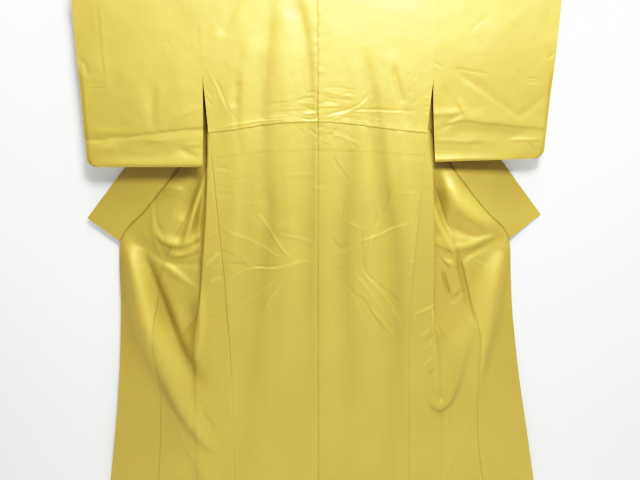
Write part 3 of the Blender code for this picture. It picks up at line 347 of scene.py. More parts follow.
frontCreases = {
    "left": [
        # over the collar seam and on the okumi
        (0.9, 3.4, -558, 607, -528, 651, -495, 698, -484, 720),
        (1.8, 5, -469, 595, -473, 641, -474, 692, -463, 739, -445, 770),
        # from the strip and the lobes
        (1, 3.4, -403, 725, -369, 715, -343, 721), (-1.6, 4, -411, 764, -382, 753, -362, 741, -339, 727),
        (1.2, 3.4, -398, 774, -368, 763, -336, 752), (1.4, 3.6, -392, 824, -374, 837, -350, 857),
        (1.6, 5, -356, 947, -367, 999, -385, 1052),
        # in the band, and the V line
        (-0.9, 3, -525, 777, -510, 782, -491, 781), (-0.6, 3, -522, 820, -510, 815, -496, 806),
        (1.6, 4.2, -469, 1230, -449, 1283, -426, 1345, -399, 1424, -355, 1508, -337, 1546),
        # at the band's end
        (-1.5, 3.4, -432, 1221, -402, 1222, -376, 1220, -349, 1224),
        (1.5, 3.4, -369, 1217, -344, 1220, -314, 1231, -279, 1243), (-2.6, 8, -364, 1244, -344, 1279, -324, 1315),
        (0.6, 2.8, -504, 1208, -495, 1232, -485, 1254),
    ],
    "right": [
        # on the swell, and the V notch under it
        (-1.4, 3.4, 452, 763, 473, 774, 494, 784), (-1.8, 3.6, 342, 748, 361, 771, 386, 800),
        (-2.8, 4.4, 360, 796, 373, 839, 390, 880), (-2.4, 4.4, 392, 885, 408, 877, 425, 864),
        # in the lobe
        (0.9, 3, 373, 1155, 384, 1188, 398, 1223), (-0.8, 3.4, 387, 1077, 414, 1079, 438, 1074),
        # V line, and lines by the lobe and the okumi seam
        (1.6, 4.2, 485, 1264, 464, 1323, 433, 1412, 393, 1509, 379, 1544),
        (0.6, 3, 330, 1279, 350, 1322, 375, 1367, 410, 1420), (0.5, 3, 367, 1300, 379, 1337, 393, 1367),
        (2.2, 5, 447, 890, 463, 948, 474, 1006),
    ],
}
sleeveCreases = {
    "left": [
        # level lines, and the cuff's notch
        (-0.5, 2.6, -602, 274, -580, 272, -555, 270), (-0.7, 2.6, -602, 285, -578, 284, -552, 284),
        (-1, 5, -608, 213, -604, 233, -599, 255), (-0.8, 4, -623, 215, -615, 215, -608, 217),
        # upright lines, and a slack stroke
        (0.4, 3, -553, 67, -553, 118, -554, 205, -549, 266),
        (-0.4, 3.4, -561, 67, -560, 120, -561, 205, -558, 263), (-0.5, 3.2, -393, 160, -386, 171, -379, 184),
    ],
    "right": [
        # upper line, and strokes
        (-0.9, 3, 353, 232, 380, 238, 409, 242, 447, 250), (-0.8, 2.8, 300, 217, 312, 225, 325, 232),
        (-0.6, 3.2, 384, 144, 409, 125, 443, 101),
        # level lines, and the cuff's notch
        (-0.7, 2.6, 544, 259, 562, 260, 583, 261), (-0.6, 2.6, 546, 268, 566, 269, 589, 268),
        (-1, 4.4, 613, 195, 605, 202, 596, 208),
    ],
}
stripCreases = [
    # left strip
    (1.5, 4, -330, 779, -309, 761, -281, 734), (1.2, 5, -318, 826, -297, 816, -277, 811),
    (0.5, 3.4, -316, 693, -299, 680, -282, 673), (0.5, 3.4, -317, 797, -296, 782, -278, 770),
    (-0.5, 3, -341, 923, -321, 931, -298, 936),
    # right strip
    (1.5, 4, 271, 927, 303, 915, 329, 903, 343, 887), (1.6, 4.2, 332, 905, 343, 946, 357, 998),
    (0.5, 2.8, 286, 806, 310, 809, 333, 813), (0.4, 2.6, 287, 819, 310, 821, 333, 825),
    (1.3, 4, 298, 997, 316, 986, 334, 971), (1.2, 4, 314, 1092, 331, 1077, 348, 1062),
    (0.7, 3, 304, 1050, 327, 1027, 344, 1011), (-1.2, 3.4, 315, 1014, 332, 998, 349, 982),
    (-1.2, 4, 333, 1125, 344, 1111, 352, 1098), (0.5, 3, 305, 664, 317, 675, 329, 687),
]


def smooth(knots, values, where):
    # a curve without overshoot through the knots
    knots, values = np.asarray(knots, float), np.asarray(values, float)
    steps = np.diff(knots)
    slopes = np.diff(values) / steps
    before, after = 2 * steps[1:] + steps[:-1], steps[1:] + 2 * steps[:-1]
    with np.errstate(divide="ignore", invalid="ignore"):
        mean = (before + after) / (before / slopes[:-1] + after / slopes[1:])
    bends = np.concatenate([slopes[:1], np.where(slopes[:-1] * slopes[1:] > 0, mean, 0.0), slopes[-1:]])
    where = np.clip(np.asarray(where, float), knots[0], knots[-1])
    run = np.clip(np.searchsorted(knots, where, side="right") - 1, 0, len(steps) - 1)
    share = (where - knots[run]) / steps[run]
    square, cube = share**2, share**3
    return (values[run] * (2 * cube - 3 * square + 1) + values[run + 1] * (3 * square - 2 * cube)
            + steps[run] * (bends[run] * (cube - 2 * square + share) + bends[run + 1] * (cube - square)))


def column(table, columns, name, depth):
    place = columns.index(name)
    return smooth([row[0] for row in table], [row[place] for row in table], depth)


def seamAt(side, name, depth):
    return column(sections[side], sectionColumns, name, depth)


def layerAt(name, depth):
    return column(layers, layerColumns, name, depth)


def ease(low, high, value):
    share = np.clip((np.asarray(value, float) - low) / (high - low), 0.0, 1.0)
    return share * share * (3 - 2 * share)


def bell(distance, width):
    return np.exp(-((distance / width) ** 2))


def fading(distance, width):
    return np.exp(-np.abs(distance) / width)


def softNoise(x, y, size, seed):
    # smooth hills and hollows about this size, from -1 to 1, the same on each run
    count = 96
    heights = np.random.default_rng(seed).uniform(-1, 1, (count + 1, count + 1))
    u, v = np.asarray(x) / size, np.asarray(y) / size
    left, low = np.floor(u).astype(int), np.floor(v).astype(int)
    shareU, shareV = ease(0, 1, u - left), ease(0, 1, v - low)
    left, low = left % count, low % count
    bottom = heights[low, left] * (1 - shareU) + heights[low, left + 1] * shareU
    top = heights[low + 1, left] * (1 - shareU) + heights[low + 1, left + 1] * shareU
    return bottom * (1 - shareV) + top * shareV


def ripple(row, across, depth):
    # small unevenness, from (height, stretch across, stretch down, size, seed)
    height, wide, tall, size, seed = row
    return height * softNoise(across * wide, depth * tall, size, seed)


def ripples(rows, across, depth):
    return sum(ripple(row, across, depth) for row in rows)


def roundedLine(rows, cuts=4):
    # a line with its corners rounded, through all its points
    padded = np.vstack([2 * rows[0] - rows[1], rows, 2 * rows[-1] - rows[-2]])
    a, b, c, d = (padded[place : len(padded) - 3 + place, None] for place in range(4))
    t = (np.arange(cuts) / cuts)[:, None]
    points = 0.5 * (2 * b + (c - a) * t + (2 * a - 5 * b + 4 * c - d) * t**2 + (3 * b - a - 3 * c + d) * t**3)
    return np.vstack([points.reshape(-1, rows.shape[1]), rows[-1]])


def nearLine(line, reach, across, depth):
    # which places lie near a line, with their distance from it, stretch of it and side of it
    low, high = line[:, :2].min(axis=0) - reach, line[:, :2].max(axis=0) + reach
    near = (across > low[0]) & (across < high[0]) & (depth > low[1]) & (depth < high[1])
    x, z = across[near], depth[near]
    nearest, stretch, inner = np.full(x.shape, 1e9), np.zeros(x.shape), np.zeros(x.shape, bool)
    for place, (start, end) in enumerate(zip(line[:-1], line[1:])):
        along = end[:2] - start[:2]
        share = ((x - start[0]) * along[0] + (z - start[1]) * along[1]) / math.hypot(*along) ** 2
        share = np.clip(share, 0.0, 1.0)
        offAcross, offDepth = x - start[0] - share * along[0], z - start[1] - share * along[1]
        distance = np.hypot(offAcross, offDepth)
        closer = distance < nearest
        nearest = np.where(closer, distance, nearest)
        stretch = np.where(closer, place + share, stretch)
        inner = np.where(closer, (offAcross * along[1] - offDepth * along[0]) < 0, inner)
    return near, nearest, stretch, inner


# How far from its line a fold or crease reaches, in widths, the share of its length over which its ends fade,
# and the width and height limits of a crease's painted highlight and painted shade
folding = {"foldReach": 3, "creaseReach": 2.8, "creaseEnds": 0.2, "paintedCreaseWidth": 0.68, "paintedCreaseLimits": (-1.2, 1.2)}


def foldHeight(folds, across, depth):
    # summed height of large folds, each from its rows of height and widths
    total = np.zeros(across.shape)
    for rows in folds.values():
        line = roundedLine(np.array(rows) / 1000)
        reach = folding["foldReach"] * line[:, 3:].max()
        near, distance, stretch, inner = nearLine(line, reach, across, depth)
        places = np.arange(len(line))
        height, innerWidth, outerWidth = (np.interp(stretch, places, line[:, cut]) for cut in (2, 3, -1))
        total[near] += height * bell(distance, np.where(inner, innerWidth, outerWidth))
    return total


def creaseHeight(creases, across, depth, sharpness=1.5, narrowed=1.0):
    # summed height of creases, each dying away at both ends
    total = np.zeros(across.shape)
    for height, width, *line in creases:
        line, width = roundedLine(np.reshape(line, (-1, 2)) / 1000), narrowed * width / 1000
        near, distance, stretch = nearLine(line, folding["creaseReach"] * width, across, depth)[:3]
        if near.any():
            share, ends = stretch / (len(line) - 1), folding["creaseEnds"]
            fade = ease(0.0, ends, share) * ease(0.0, ends, 1 - share)
            total[near] += height / 1000 * fade * np.exp(-((distance / width) ** sharpness))
    return total


def paintedFoldShading(folds, across, depth, reach):
    # painted shade: the silk's colour is darkened down in a hollow, and a painted highlight makes it a little
    # lighter on a crest
    height = foldHeight(folds, across, depth) / reach
    return 1 + np.where(height < 0, silk["paintedHollowShade"], silk["paintedCrestHighlight"]) * np.clip(height, -1.2, 1.0)


def paintedCreaseShading(creases, across, depth, sharpness=1.5):
    # painted highlight a little lighter on a thin crease, and painted shade darker where a thin crease dips
    height = creaseHeight(creases, across, depth, sharpness, folding["paintedCreaseWidth"]) * 1000
    return silk["paintedCreaseShading"] * np.clip(height, *folding["paintedCreaseLimits"])


def oddGrid(grid):
    # one more row or column where needed, so that every second point reaches both edges
    for axis in (0, 1):
        if grid.shape[axis] % 2 == 0:
            first, rest = np.split(grid, [1], axis)
            grid = np.concatenate([first, (first + np.take(grid, [1], axis)) / 2, rest], axis)
    return grid


def runOf(points):
    # the length run from the first point of a line to each of its points
    return np.concatenate([[0.0], np.cumsum(np.linalg.norm(np.diff(points[:, :3], axis=0), axis=1))])


def evenly(rows, count):
    # each row of points spread evenly along its own length
    spread = []
    for row in rows:
        run = runOf(row)
        wanted = np.linspace(0, run[-1], count)
        spread.append(np.stack([np.interp(wanted, run, values) for values in row.T], axis=1))
    return np.array(spread)


def spacedPlaces(stops):
    # places from stretches of (end, spacing), the first stop giving the start
    places = [stops[0][0]]
    for end, spacing in stops[1:]:
        count = max(1, round(abs(end - places[-1]) / spacing))
        places.extend(np.linspace(places[-1], end, count + 1)[1:])
    return np.array(places)


def roundedPath(corners, radius, cuts=6):
    # rows of corner points joined by straights, with each inner corner rounded off
    legs = np.diff(corners, axis=1)
    lengths = np.maximum(np.linalg.norm(legs, axis=2, keepdims=True), 1e-9)
    ways = legs / lengths
    reach = np.minimum(radius, 0.45 * np.minimum(lengths[:, :-1], lengths[:, 1:]))
    middle = corners[:, 1:-1]
    enter, leave = middle - ways[:, :-1] * reach, middle + ways[:, 1:] * reach
    points = [corners[:, 0]]
    for bend in range(middle.shape[1]):
        for share in np.arange(cuts + 1) / cuts:
            points.append((1 - share) ** 2 * enter[:, bend] + 2 * share * (1 - share) * middle[:, bend]
                          + share**2 * leave[:, bend])
    return np.stack(points + [corners[:, -1]], axis=1)


def wrapOverBar(across, cloth, standOff):
    # cloth laid over the bar, counted from the shoulder line, positive down the back
    angle = np.clip(cloth / wrapRadius, -math.pi / 2, math.pi / 2)
    below = np.maximum(np.abs(cloth) - wrapHalf, 0.0)
    y = np.where(below > 0, standOff, -wrapRadius * np.sin(angle))
    z = shoulderZ - wrapRadius * (1 - np.cos(angle)) - below
    return np.stack(np.broadcast_arrays(across, y, z), axis=-1)


# The back: spacing of its points, the waist tuck, the pressed line under it and the centre seam
back = {
    "columns": [(0.0, 0), (0.008, 0.0016), (0.050, 0.0027), (0.240, 0.0031), (0.290, 0.0027), (0.302, 0.0020)],
    "rows": [(0.040, 0), (0.070, 0.006), (0.200, 0.0042), (0.360, 0.0030), (0.379, 0.0022), (0.392, 0.0013),
             (0.430, 0.0024), (0.560, 0.0030), (0.980, 0.0034), (1.100, 0.0048), (1.590, 0.0078)],
    "neckRows": (1.15, 1.06, 1.0, 0.985, 0.96, 0.92, 0.86, 0.79, 0.70),
    "tuckLine": [(-0.310, 0.4015), (-0.295, 0.4000), (-0.220, 0.3915), (-0.155, 0.3810), (-0.100, 0.3745),
                 (-0.040, 0.3715), (0.000, 0.3715), (0.060, 0.3745), (0.138, 0.3835), (0.210, 0.3925),
                 (0.288, 0.4000), (0.310, 0.4020)],
    "pressedLine": [(-0.310, 0.4685), (-0.284, 0.4670), (-0.225, 0.4600), (-0.157, 0.4530), (-0.080, 0.4490),
                    (0.000, 0.4480), (0.080, 0.4495), (0.167, 0.4530), (0.240, 0.4590), (0.286, 0.4610),
                    (0.310, 0.4620)],
    "tuck": {"depth": 0.3857, "step": 0.0022, "edge": 0.0016, "lipWidth": 0.016, "dip": 0.0007, "dipBelow": 0.0045,
             "dipAbove": 0.0012, "puckerWidth": 0.011, "rowsBendOver": 0.055},
    "pressed": {"groove": 0.0004, "width": 0.0019, "ledge": 0.0004, "ledgeWidth": 0.02, "edge": 0.002},
    "seamOverlap": 0.0013,
    "seamDip": {"left": (0.0017, 0.0002, 0.0060), "right": (0.0004, 0.0, 0.0016)},  # height, from, to
    "belowNeck": (0.034, 0.050),
    "foldShare": 0.55,
    "creaseShare": (1.2, 0.4, (0.58, 0.70)),  # at first, more below, over these depths
    "waist": ((0.02, 0.14), (0.350, 0.055)),  # across and depth: middle and width
    "sides": ((0.285, 0.030), (0.42, 0.50), (0.66, 0.80)),  # across, depths where they start and end
    "nearSeam": (0.013, (0.05, 0.1)),
    "ripples": [(0.0009, 1, 0.45, 0.075, 5), (0.00045, 1, 0.7, 0.034, 6), (0.00014, 1, 1, 0.011, 7)],
    "tuckRipple": (0.0006, 1, 1, 0.009, 11),
    "puckerRipple": (0.00062, 1, 0.35, 0.0085, 12),
    "grooveRipple": (0.25, 1, 1, 0.03, 13),
    "waistRipple": (0.00042, 0.22, 1, 0.0062, 8),
    "sideRipple": (0.00030, 0.15, 1, 0.0075, 9),
    "seamRipple": (0.00060, 0.3, 1, 0.012, 10),
    "swayAcross": (0.0013, 1, 1, 0.020, 1),
    "swayDown": (0.0013, 1, 1, 0.020, 2),
}


def lineDepth(name, across):
    knots, values = np.array(back[name]).T
    return smooth(knots, values, across)


def tuckRelief(across, depth):
    # the cloth above the tuck laps over the cloth below it, and its stitches pucker both
    tuck, line = back["tuck"], back["pressed"]
    below = depth - lineDepth("tuckLine", across) - ripple(back["tuckRipple"], across, depth)
    lip = fading(below, tuck["lipWidth"]) * ease(0.0, tuck["edge"], -below)
    dip = np.exp(-np.where(below >= 0, below / tuck["dipBelow"], -below / tuck["dipAbove"]))
    pucker = ripple(back["puckerRipple"], across, depth) * fading(below, tuck["puckerWidth"])
    pressed = depth - lineDepth("pressedLine", across)
    groove = bell(pressed, line["width"]) * (0.75 + ripple(back["grooveRipple"], across, depth))
    ledge = fading(pressed, line["ledgeWidth"]) * ease(0.0, line["edge"], -pressed)
    return tuck["step"] * lip - tuck["dip"] * dip + pucker - line["groove"] * groove + line["ledge"] * ledge


def unevenPlace(across, depth):
    # moves places by a millimetre or so, so that no crease runs quite true
    return across + ripple(back["swayAcross"], across, depth), depth + ripple(back["swayDown"], across, depth)


def backRelief(across, depth):
    x, z = unevenPlace(across, depth)
    (middle, width), (middleDepth, height) = back["waist"]
    waist = bell(across - middle, width) * bell(depth - middleDepth, height)
    (middle, width), start, end = back["sides"]
    sides = bell(middle - np.abs(across), width) * ease(*start, depth) * (1 - ease(*end, depth))
    width, start = back["nearSeam"]
    nearSeam = fading(across, width) * ease(*start, depth)
    share, more, start = back["creaseShare"]
    relief = creaseHeight(backSwells, x, z, 2.0) + back["foldShare"] * foldHeight(backFolds, across, depth)
    relief += (share + more * ease(*start, depth)) * creaseHeight(backCreases, x, z)
    relief += ripples(back["ripples"], across, depth) + waist * ripple(back["waistRipple"], across, depth)
    relief += sides * ripple(back["sideRipple"], across, depth)
    relief += nearSeam * ripple(back["seamRipple"], across, depth)
    return relief + tuckRelief(across, depth)


def backPart(side):
    sign, tuck = signs[side], back["tuck"]
    shares = spacedPlaces(back["columns"])[::-1] / kimono["shoulderWidth"]
    falling = spacedPlaces(back["rows"])[::-1] - wrapRadius + wrapHalf
    neck = kimono["neckDrop"] * np.array(back["neckRows"])
    cloth = np.concatenate([falling, neck, wrapHalf * np.linspace(1.0, 0.0, 9)])
    overBar = wrapRadius * (1 - np.cos(cloth / wrapRadius))
    depth = np.where(cloth > wrapHalf, cloth - wrapHalf + wrapRadius, overBar)
    outer = seamAt(side, "sideSeam", depth)
    inner = kimono["neckHalfWidth"] * np.sqrt(np.clip(1 - (cloth / kimono["neckDrop"]) ** 2, 0.0, None))
    if side == "left":
        # below the neck the left side runs on a little under the right one, as the seam is pressed
        inner = inner - back["seamOverlap"] * ease(*back["belowNeck"], depth)
    across = sign * (inner[:, None] + (outer - inner)[:, None] * shares)
    # the rows bend with the tuck, so that its step stays sharp
    bend = (lineDepth("tuckLine", across) - tuck["depth"]) * bell(depth - 0.386, tuck["rowsBendOver"])[:, None]
    depths = depth[:, None] + bend
    relief = backRelief(across, depths) * ease(0.02, 0.10, depths)
    dip, start, end = back["seamDip"][side]
    relief = relief - dip * (1 - ease(start, end, sign * across)) * ease(*back["belowNeck"], depths)
    return wrapOverBar(across, cloth[:, None] + bend, layerAt("back", depths) - relief)


# The fronts: from the side seam to the fold edge, back under the fold, and out again to the okumi
front = {
    "rows": [(0.0113, 0), (0.045, 0.0042), (0.120, 0.0040), (0.300, 0.0070), (0.420, 0.0062), (1.080, 0.0042),
             (1.300, 0.0052), (1.590, 0.0074)],
    "foldRadius": 0.0050,
    "creaseSharpness": 1.7,
    "sway": (0.0015, 1, 1, 0.024, 21),
    "ripples": [(0.0010, 1, 0.5, 0.060, 22), (0.0004, 1, 0.7, 0.026, 23), (0.00012, 1, 1, 0.010, 24)],
    "stripRipple": (0.0003, 0.6, 1, 0.016, 25),
    "seamTurn": (0.0016, 0.0014),
    "neckTaper": (0.0, 0.24),
    "doubledFrom": (0.06, 0.12),
    "opensOut": (0.88, 1.00),
    "allLayersFold": (0.80, 0.90),
    "creasesFrom": (0.40, 0.48),
    "ripplesFrom": (0.3, 0.45),
}


def frontRelief(side, across, depth):
    # across counts outwards here
    x = signs[side] * across
    sway = ripple(front["sway"], x, depth)
    creases = creaseHeight(frontCreases[side], x + sway, depth + sway, front["creaseSharpness"])
    folds = foldHeight(frontFolds[side], across, depth) + creases * ease(*front["creasesFrom"], depth)
    fromSeam = ease(0.0, 0.05, across - seamAt(side, "sideSeam", depth))
    return folds * fromSeam + ripples(front["ripples"], x, depth) * ease(*front["ripplesFrom"], depth)


def frontLine(side, name, flat):
    # a line of the spread front at these lengths of cloth, as (across, stand-off, depth)
    depth = flat - kimono["frontLift"] * ease(0.0, 0.5, flat)
    if name == "outerLine":
        depth = depth + 0.004 * ease(kimono["okumiTipDepth"], 0.75, flat)
    return seamAt(side, name, depth), layerAt(name, depth), depth


def frontPart(side):
    sign = signs[side]
    turnRows = wrapRadius * (1 - np.cos(np.linspace(0.12, 1.0, 8)[:-1] * math.pi / 2))
    flat = np.concatenate([turnRows, spacedPlaces(front["rows"])])
    sideSeam, edge = seamAt(side, "sideSeam", flat), seamAt(side, "foldEdge", flat)
    okumiX, okumiY, okumiDepth = frontLine(side, "okumiSeam", flat)
    sideY, edgeY, firstY, turnY, secondY, folded = (
        layerAt(name, flat) for name in ("sideEdge", "foldEdge", "first", "turn", "second", "folded"))
    # the hidden layer turns where the width of the cloth has it, and near the hem the front opens out
    widthAtNeck = kimono["shoulderWidth"] - kimono["neckHalfWidth"]
    cutWidth = kimono["frontWidth"] - (kimono["frontWidth"] - widthAtNeck) * (1 - ease(*front["neckTaper"], flat))
    doubled = (np.maximum(edge, sideSeam) * 2 - sideSeam + okumiX - cutWidth) / 2
    doubled = okumiX - 0.002 - (okumiX - 0.002 - doubled) * ease(*front["doubledFrom"], flat)
    doubled = doubled + 0.009 * (1 - ease(0.040, 0.075, flat))
    doubled = doubled + (edge + 0.004 - doubled) * ease(*front["opensOut"], flat)
    turn = folded * doubled + (1 - folded) * (edge + 0.45 * (okumiX - edge))
    onward = 0.010 * np.sign(okumiX - edge) * (1 - folded)
    places = [(sideSeam, sideY), (edge, edgeY), (edge - 0.002 * folded + onward, firstY),
              (turn + 0.003 * folded - onward, turnY), (turn, secondY), (okumiX, okumiY)]
    corners = np.stack([np.stack([x, y, np.zeros_like(flat)], axis=-1) for x, y in places], axis=1)
    path = roundedPath(corners, front["foldRadius"])
    # the last value tells the stretch of the row: 0 to 0.5 the strip, 1 the hidden layer, 2 to 3 the outer layer
    marks = np.concatenate([[0.0], np.repeat([0.5, 1.0, 1.5, 2.0], 7), [3.0]])
    path = np.concatenate([path, np.broadcast_to(marks[None, :, None], path.shape[:2] + (1,))], axis=2)
    count = len(spacedPlaces(back["columns"]))
    points = evenly(path, count)
    depth = flat[:, None] - (flat - okumiDepth)[:, None] * ease(0.0, 1.0, np.linspace(0, 1, count))
    across, mark = points[..., 0], points[..., 3]
    onOuter, onStrip = ease(2.0, 2.35, mark), (1 - ease(0.35, 0.6, mark)) * ease(0.0, 0.02, mark)
    relief = frontRelief(side, across, depth) * np.maximum(onOuter, ease(*front["allLayersFold"], depth))
    relief += 2.0 * creaseHeight(stripCreases, sign * across, depth, front["creaseSharpness"]) * onStrip
    relief += ripple(front["stripRipple"], sign * across, depth) * onStrip * ease(0.38, 0.44, depth)
    # the strip runs on a little under the back's edge, as the side seam is pressed
    seamed = ease(0.40, 0.46, depth) * (1 - ease(0.0, 0.0045, across - sideSeam[:, None]))
    onBar = np.clip(wrapRadius - depth, 0.0, None)
    inward, toWall = front["seamTurn"]
    y = np.where(onBar > 0, np.sqrt(wrapRadius**2 - onBar**2), points[..., 1] - relief + toWall * seamed)
    return np.stack([sign * (across - inward * seamed), y, shoulderZ - depth], axis=-1)


okumi = {
    "columns": [(0.0, 0), (0.008, 0.0020), (0.150, 0.0042), (0.160, 0.0025)],
    "rows": [(0.250, 0), (1.080, 0.0042), (1.590, 0.0062)],
    "underlap": 0.0016,
    "beyondEdge": 0.0018,
    "edgeDip": 0.0013,
    "seamWidth": 0.0045,
}


def okumiSheet(side):
    flat = spacedPlaces(okumi["rows"])
    seam, seamY, seamDepth = (values[:, None] for values in frontLine(side, "okumiSeam", flat))
    outer, outerY, outerDepth = (values[:, None] for values in frontLine(side, "outerLine", flat))
    places = spacedPlaces(okumi["columns"])
    share = places / places[-1]
    # the first columns run a little under the front's edge, as the seam is pressed, the last under the collar's
    under = okumi["underlap"] * ease(0.0, 0.02, flat - flat[0])[:, None]
    beyond = okumi["beyondEdge"] * ease(0.004, 0.02, flat - flat[0])[:, None]
    beyond = beyond * (1 - ease(-0.030, -0.012, flat - collarEndDepth[side]))[:, None]
    across = seam - under + (outer - seam + under + beyond) * share
    depth = seamDepth + (outerDepth - seamDepth) * share
    y = seamY + (outerY - seamY) * share - frontRelief(side, across, depth)
    y = y + under * 0.9 * (1 - ease(0.0, okumi["seamWidth"], across - (seam - under)))
    y = y + okumi["edgeDip"] * ease(-okumi["seamWidth"], 0.0, across - outer) * (beyond > 0)
    return np.stack([signs[side] * across, y, shoulderZ - depth], axis=-1)


sleeve = {
    "columns": [(0.0, 0), (0.016, 0.0024), (0.300, 0.0036), (0.318, 0.0022)],
    "rows": [(0.985, 0), (0.93, 0.0024), (0.88, 0.0022), (0.70, 0.0017), (0.45, 0.0030), (0.03, 0.0050)],
    "rowScale": 0.47,
    "joinDepth": 0.240,
    "cuffDepth": 0.230,
    "cornerRadius": 0.024,
    "seamY": -0.0085,
    "seamGap": 0.0008,
    "left": {"innerJoin": 0.3021, "innerBottom": 0.313, "outerTop": 0.624, "outerBottom": 0.627,
             "bottomInner": 0.491, "bottomOuter": 0.491, "hangsBack": -0.005},
    "right": {"innerJoin": 0.3021, "innerBottom": 0.319, "outerTop": 0.617, "outerBottom": 0.614,
              "bottomInner": 0.479, "bottomOuter": 0.470, "hangsBack": 0.009},
    "sway": (0.0013, 1, 1, 0.020, 31),
    "viewerRipples": [(0.0008, 1, 0.6, 0.060, 31), (0.00035, 1, 1, 0.028, 35), (0.00012, 1, 1, 0.010, 36)],
    "wallRipples": [(0.0008, 1, 0.6, 0.060, 33), (0.00035, 1, 1, 0.028, 35), (0.00012, 1, 1, 0.010, 36)],
    "wallSetBack": 0.007,
}
# The sleeve's two layers, by their share of the fall to its bottom seam
sleeveLayerColumns = ("fall", "viewer", "wall")
sleeveLayers = [(0, -0.0113, 0.0113), (0.25, -0.0118, 0.0113), (0.49, -0.0122, 0.01), (0.74, -0.0122, 0.005),
                (0.84, -0.0118, 0.0015), (0.93, -0.0116, -0.003), (0.98, -0.0122, -0.0085), (1, -0.0126, -0.0104)]


def sleeveSheet(side):
    sign, cut, radius = signs[side], sleeve[side], sleeve["cornerRadius"]
    places = spacedPlaces(sleeve["columns"])
    acrossShare = places / places[-1]
    bottom = cut["bottomInner"] + (cut["bottomOuter"] - cut["bottomInner"]) * acrossShare
    spacings = [(start, spacing / sleeve["rowScale"]) for start, spacing in sleeve["rows"]]
    down = [bottom - radius * (1 - math.sin(turn)) for turn in np.linspace(math.pi / 2, 0, 10)]
    down += [(bottom - radius) * share for share in spacedPlaces(spacings)]
    onBar = wrapRadius * (1 - np.cos(np.linspace(0.9, 0, 6) * math.pi / 2))
    down = np.array(down + [np.full_like(bottom, depth) for depth in onBar])
    inner = smooth([0, sleeve["joinDepth"], cut["bottomInner"]],
                   [cut["innerJoin"], cut["innerJoin"], cut["innerBottom"]], down)
    outer = cut["outerTop"] + (cut["outerBottom"] - cut["outerTop"]) * down / cut["bottomOuter"]
    intoCorner = np.clip((down - (bottom - radius)) / radius, 0.0, 1.0)
    outer = outer - radius * (1 - np.sqrt(1 - intoCorner**2))
    whole = inner + (outer - inner) * acrossShare
    fall = np.clip(down / bottom, 0.0, 1.0)
    closed = ease(sleeve["cuffDepth"], sleeve["cuffDepth"] + 0.04, down) * (1 - ease(0.0, 0.012, outer - whole))
    sway = ripple(sleeve["sway"], sign * whole, down)
    fade = ease(0.02, 0.08, down) * ease(0.0, 0.006, bottom - down)
    hangs = cut["hangsBack"] * ease(0.3, 1.0, fall)
    # the wall side stands back a little at the open inner edge
    setBack = sleeve["wallSetBack"] * ease(0.25, 0.30, down) * ease(0.0, 0.02, bottom - down)
    wallAcross = whole + setBack * (1 - ease(0.0, 0.040, whole - inner))
    faces = []
    for name, seamSide, across in (("viewer", -1, whole), ("wall", 1, wallAcross)):
        x = sign * across
        y = column(sleeveLayers, sleeveLayerColumns, name, fall) + hangs
        y = y + (sleeve["seamY"] + hangs + seamSide * sleeve["seamGap"] - y) * closed
        relief = ripples(sleeve[name + "Ripples"], x, down)
        if name == "viewer":
            relief = relief + creaseHeight(sleeveCreases[side], x + sway, down + sway, 1.6)
            relief = relief + 1.5 * foldHeight(sleeveFolds[side], x + sway, down + sway)
        else:
            other = "right" if side == "left" else "left"
            relief = 0.5 * (relief + 0.8 * foldHeight(sleeveFolds[other], sway - x, down + sway))
        turned = np.sqrt(np.clip(wrapRadius**2 - (wrapRadius - down) ** 2, 0.0, None))
        y = np.where(down <= wrapRadius, seamSide * turned, y - relief * fade)
        faces.append(np.stack([x, y, shoulderZ - down], axis=-1))
    return np.concatenate([faces[0], faces[1][::-1][1:]], axis=0)


collar = {
    "columns": [(0.0, 0), (0.012, 0.0024), (0.100, 0.0046), (0.113, 0.0026)],
    "step": 0.0042,
    "width": 0.113,
    "foldedWidth": 0.056,
    "inset": 0.0036,
    "seamGap": 0.0002,
    "seamDip": 0.0007,
    "lean": {"left": -0.002, "right": 0.014},
    "fallingRows": (0.022, 0.045, 0.06, 0.075, 0.11, 0.15, 0.2, 0.25, 0.3, 0.345, 0.385, 0.42, 0.47, 0.5, 0.53,
                    0.565, 0.6, 0.6375, 0.675, 0.7125),
    "steadyFrom": 0.565,
    "straightFrom": 0.50,
}
overCollar = {"thickness": 0.0011, "standOff": 0.0019, "halfLength": 0.470}


def unit(rows):
    return rows / np.maximum(np.linalg.norm(rows, axis=-1, keepdims=True), 1e-12)


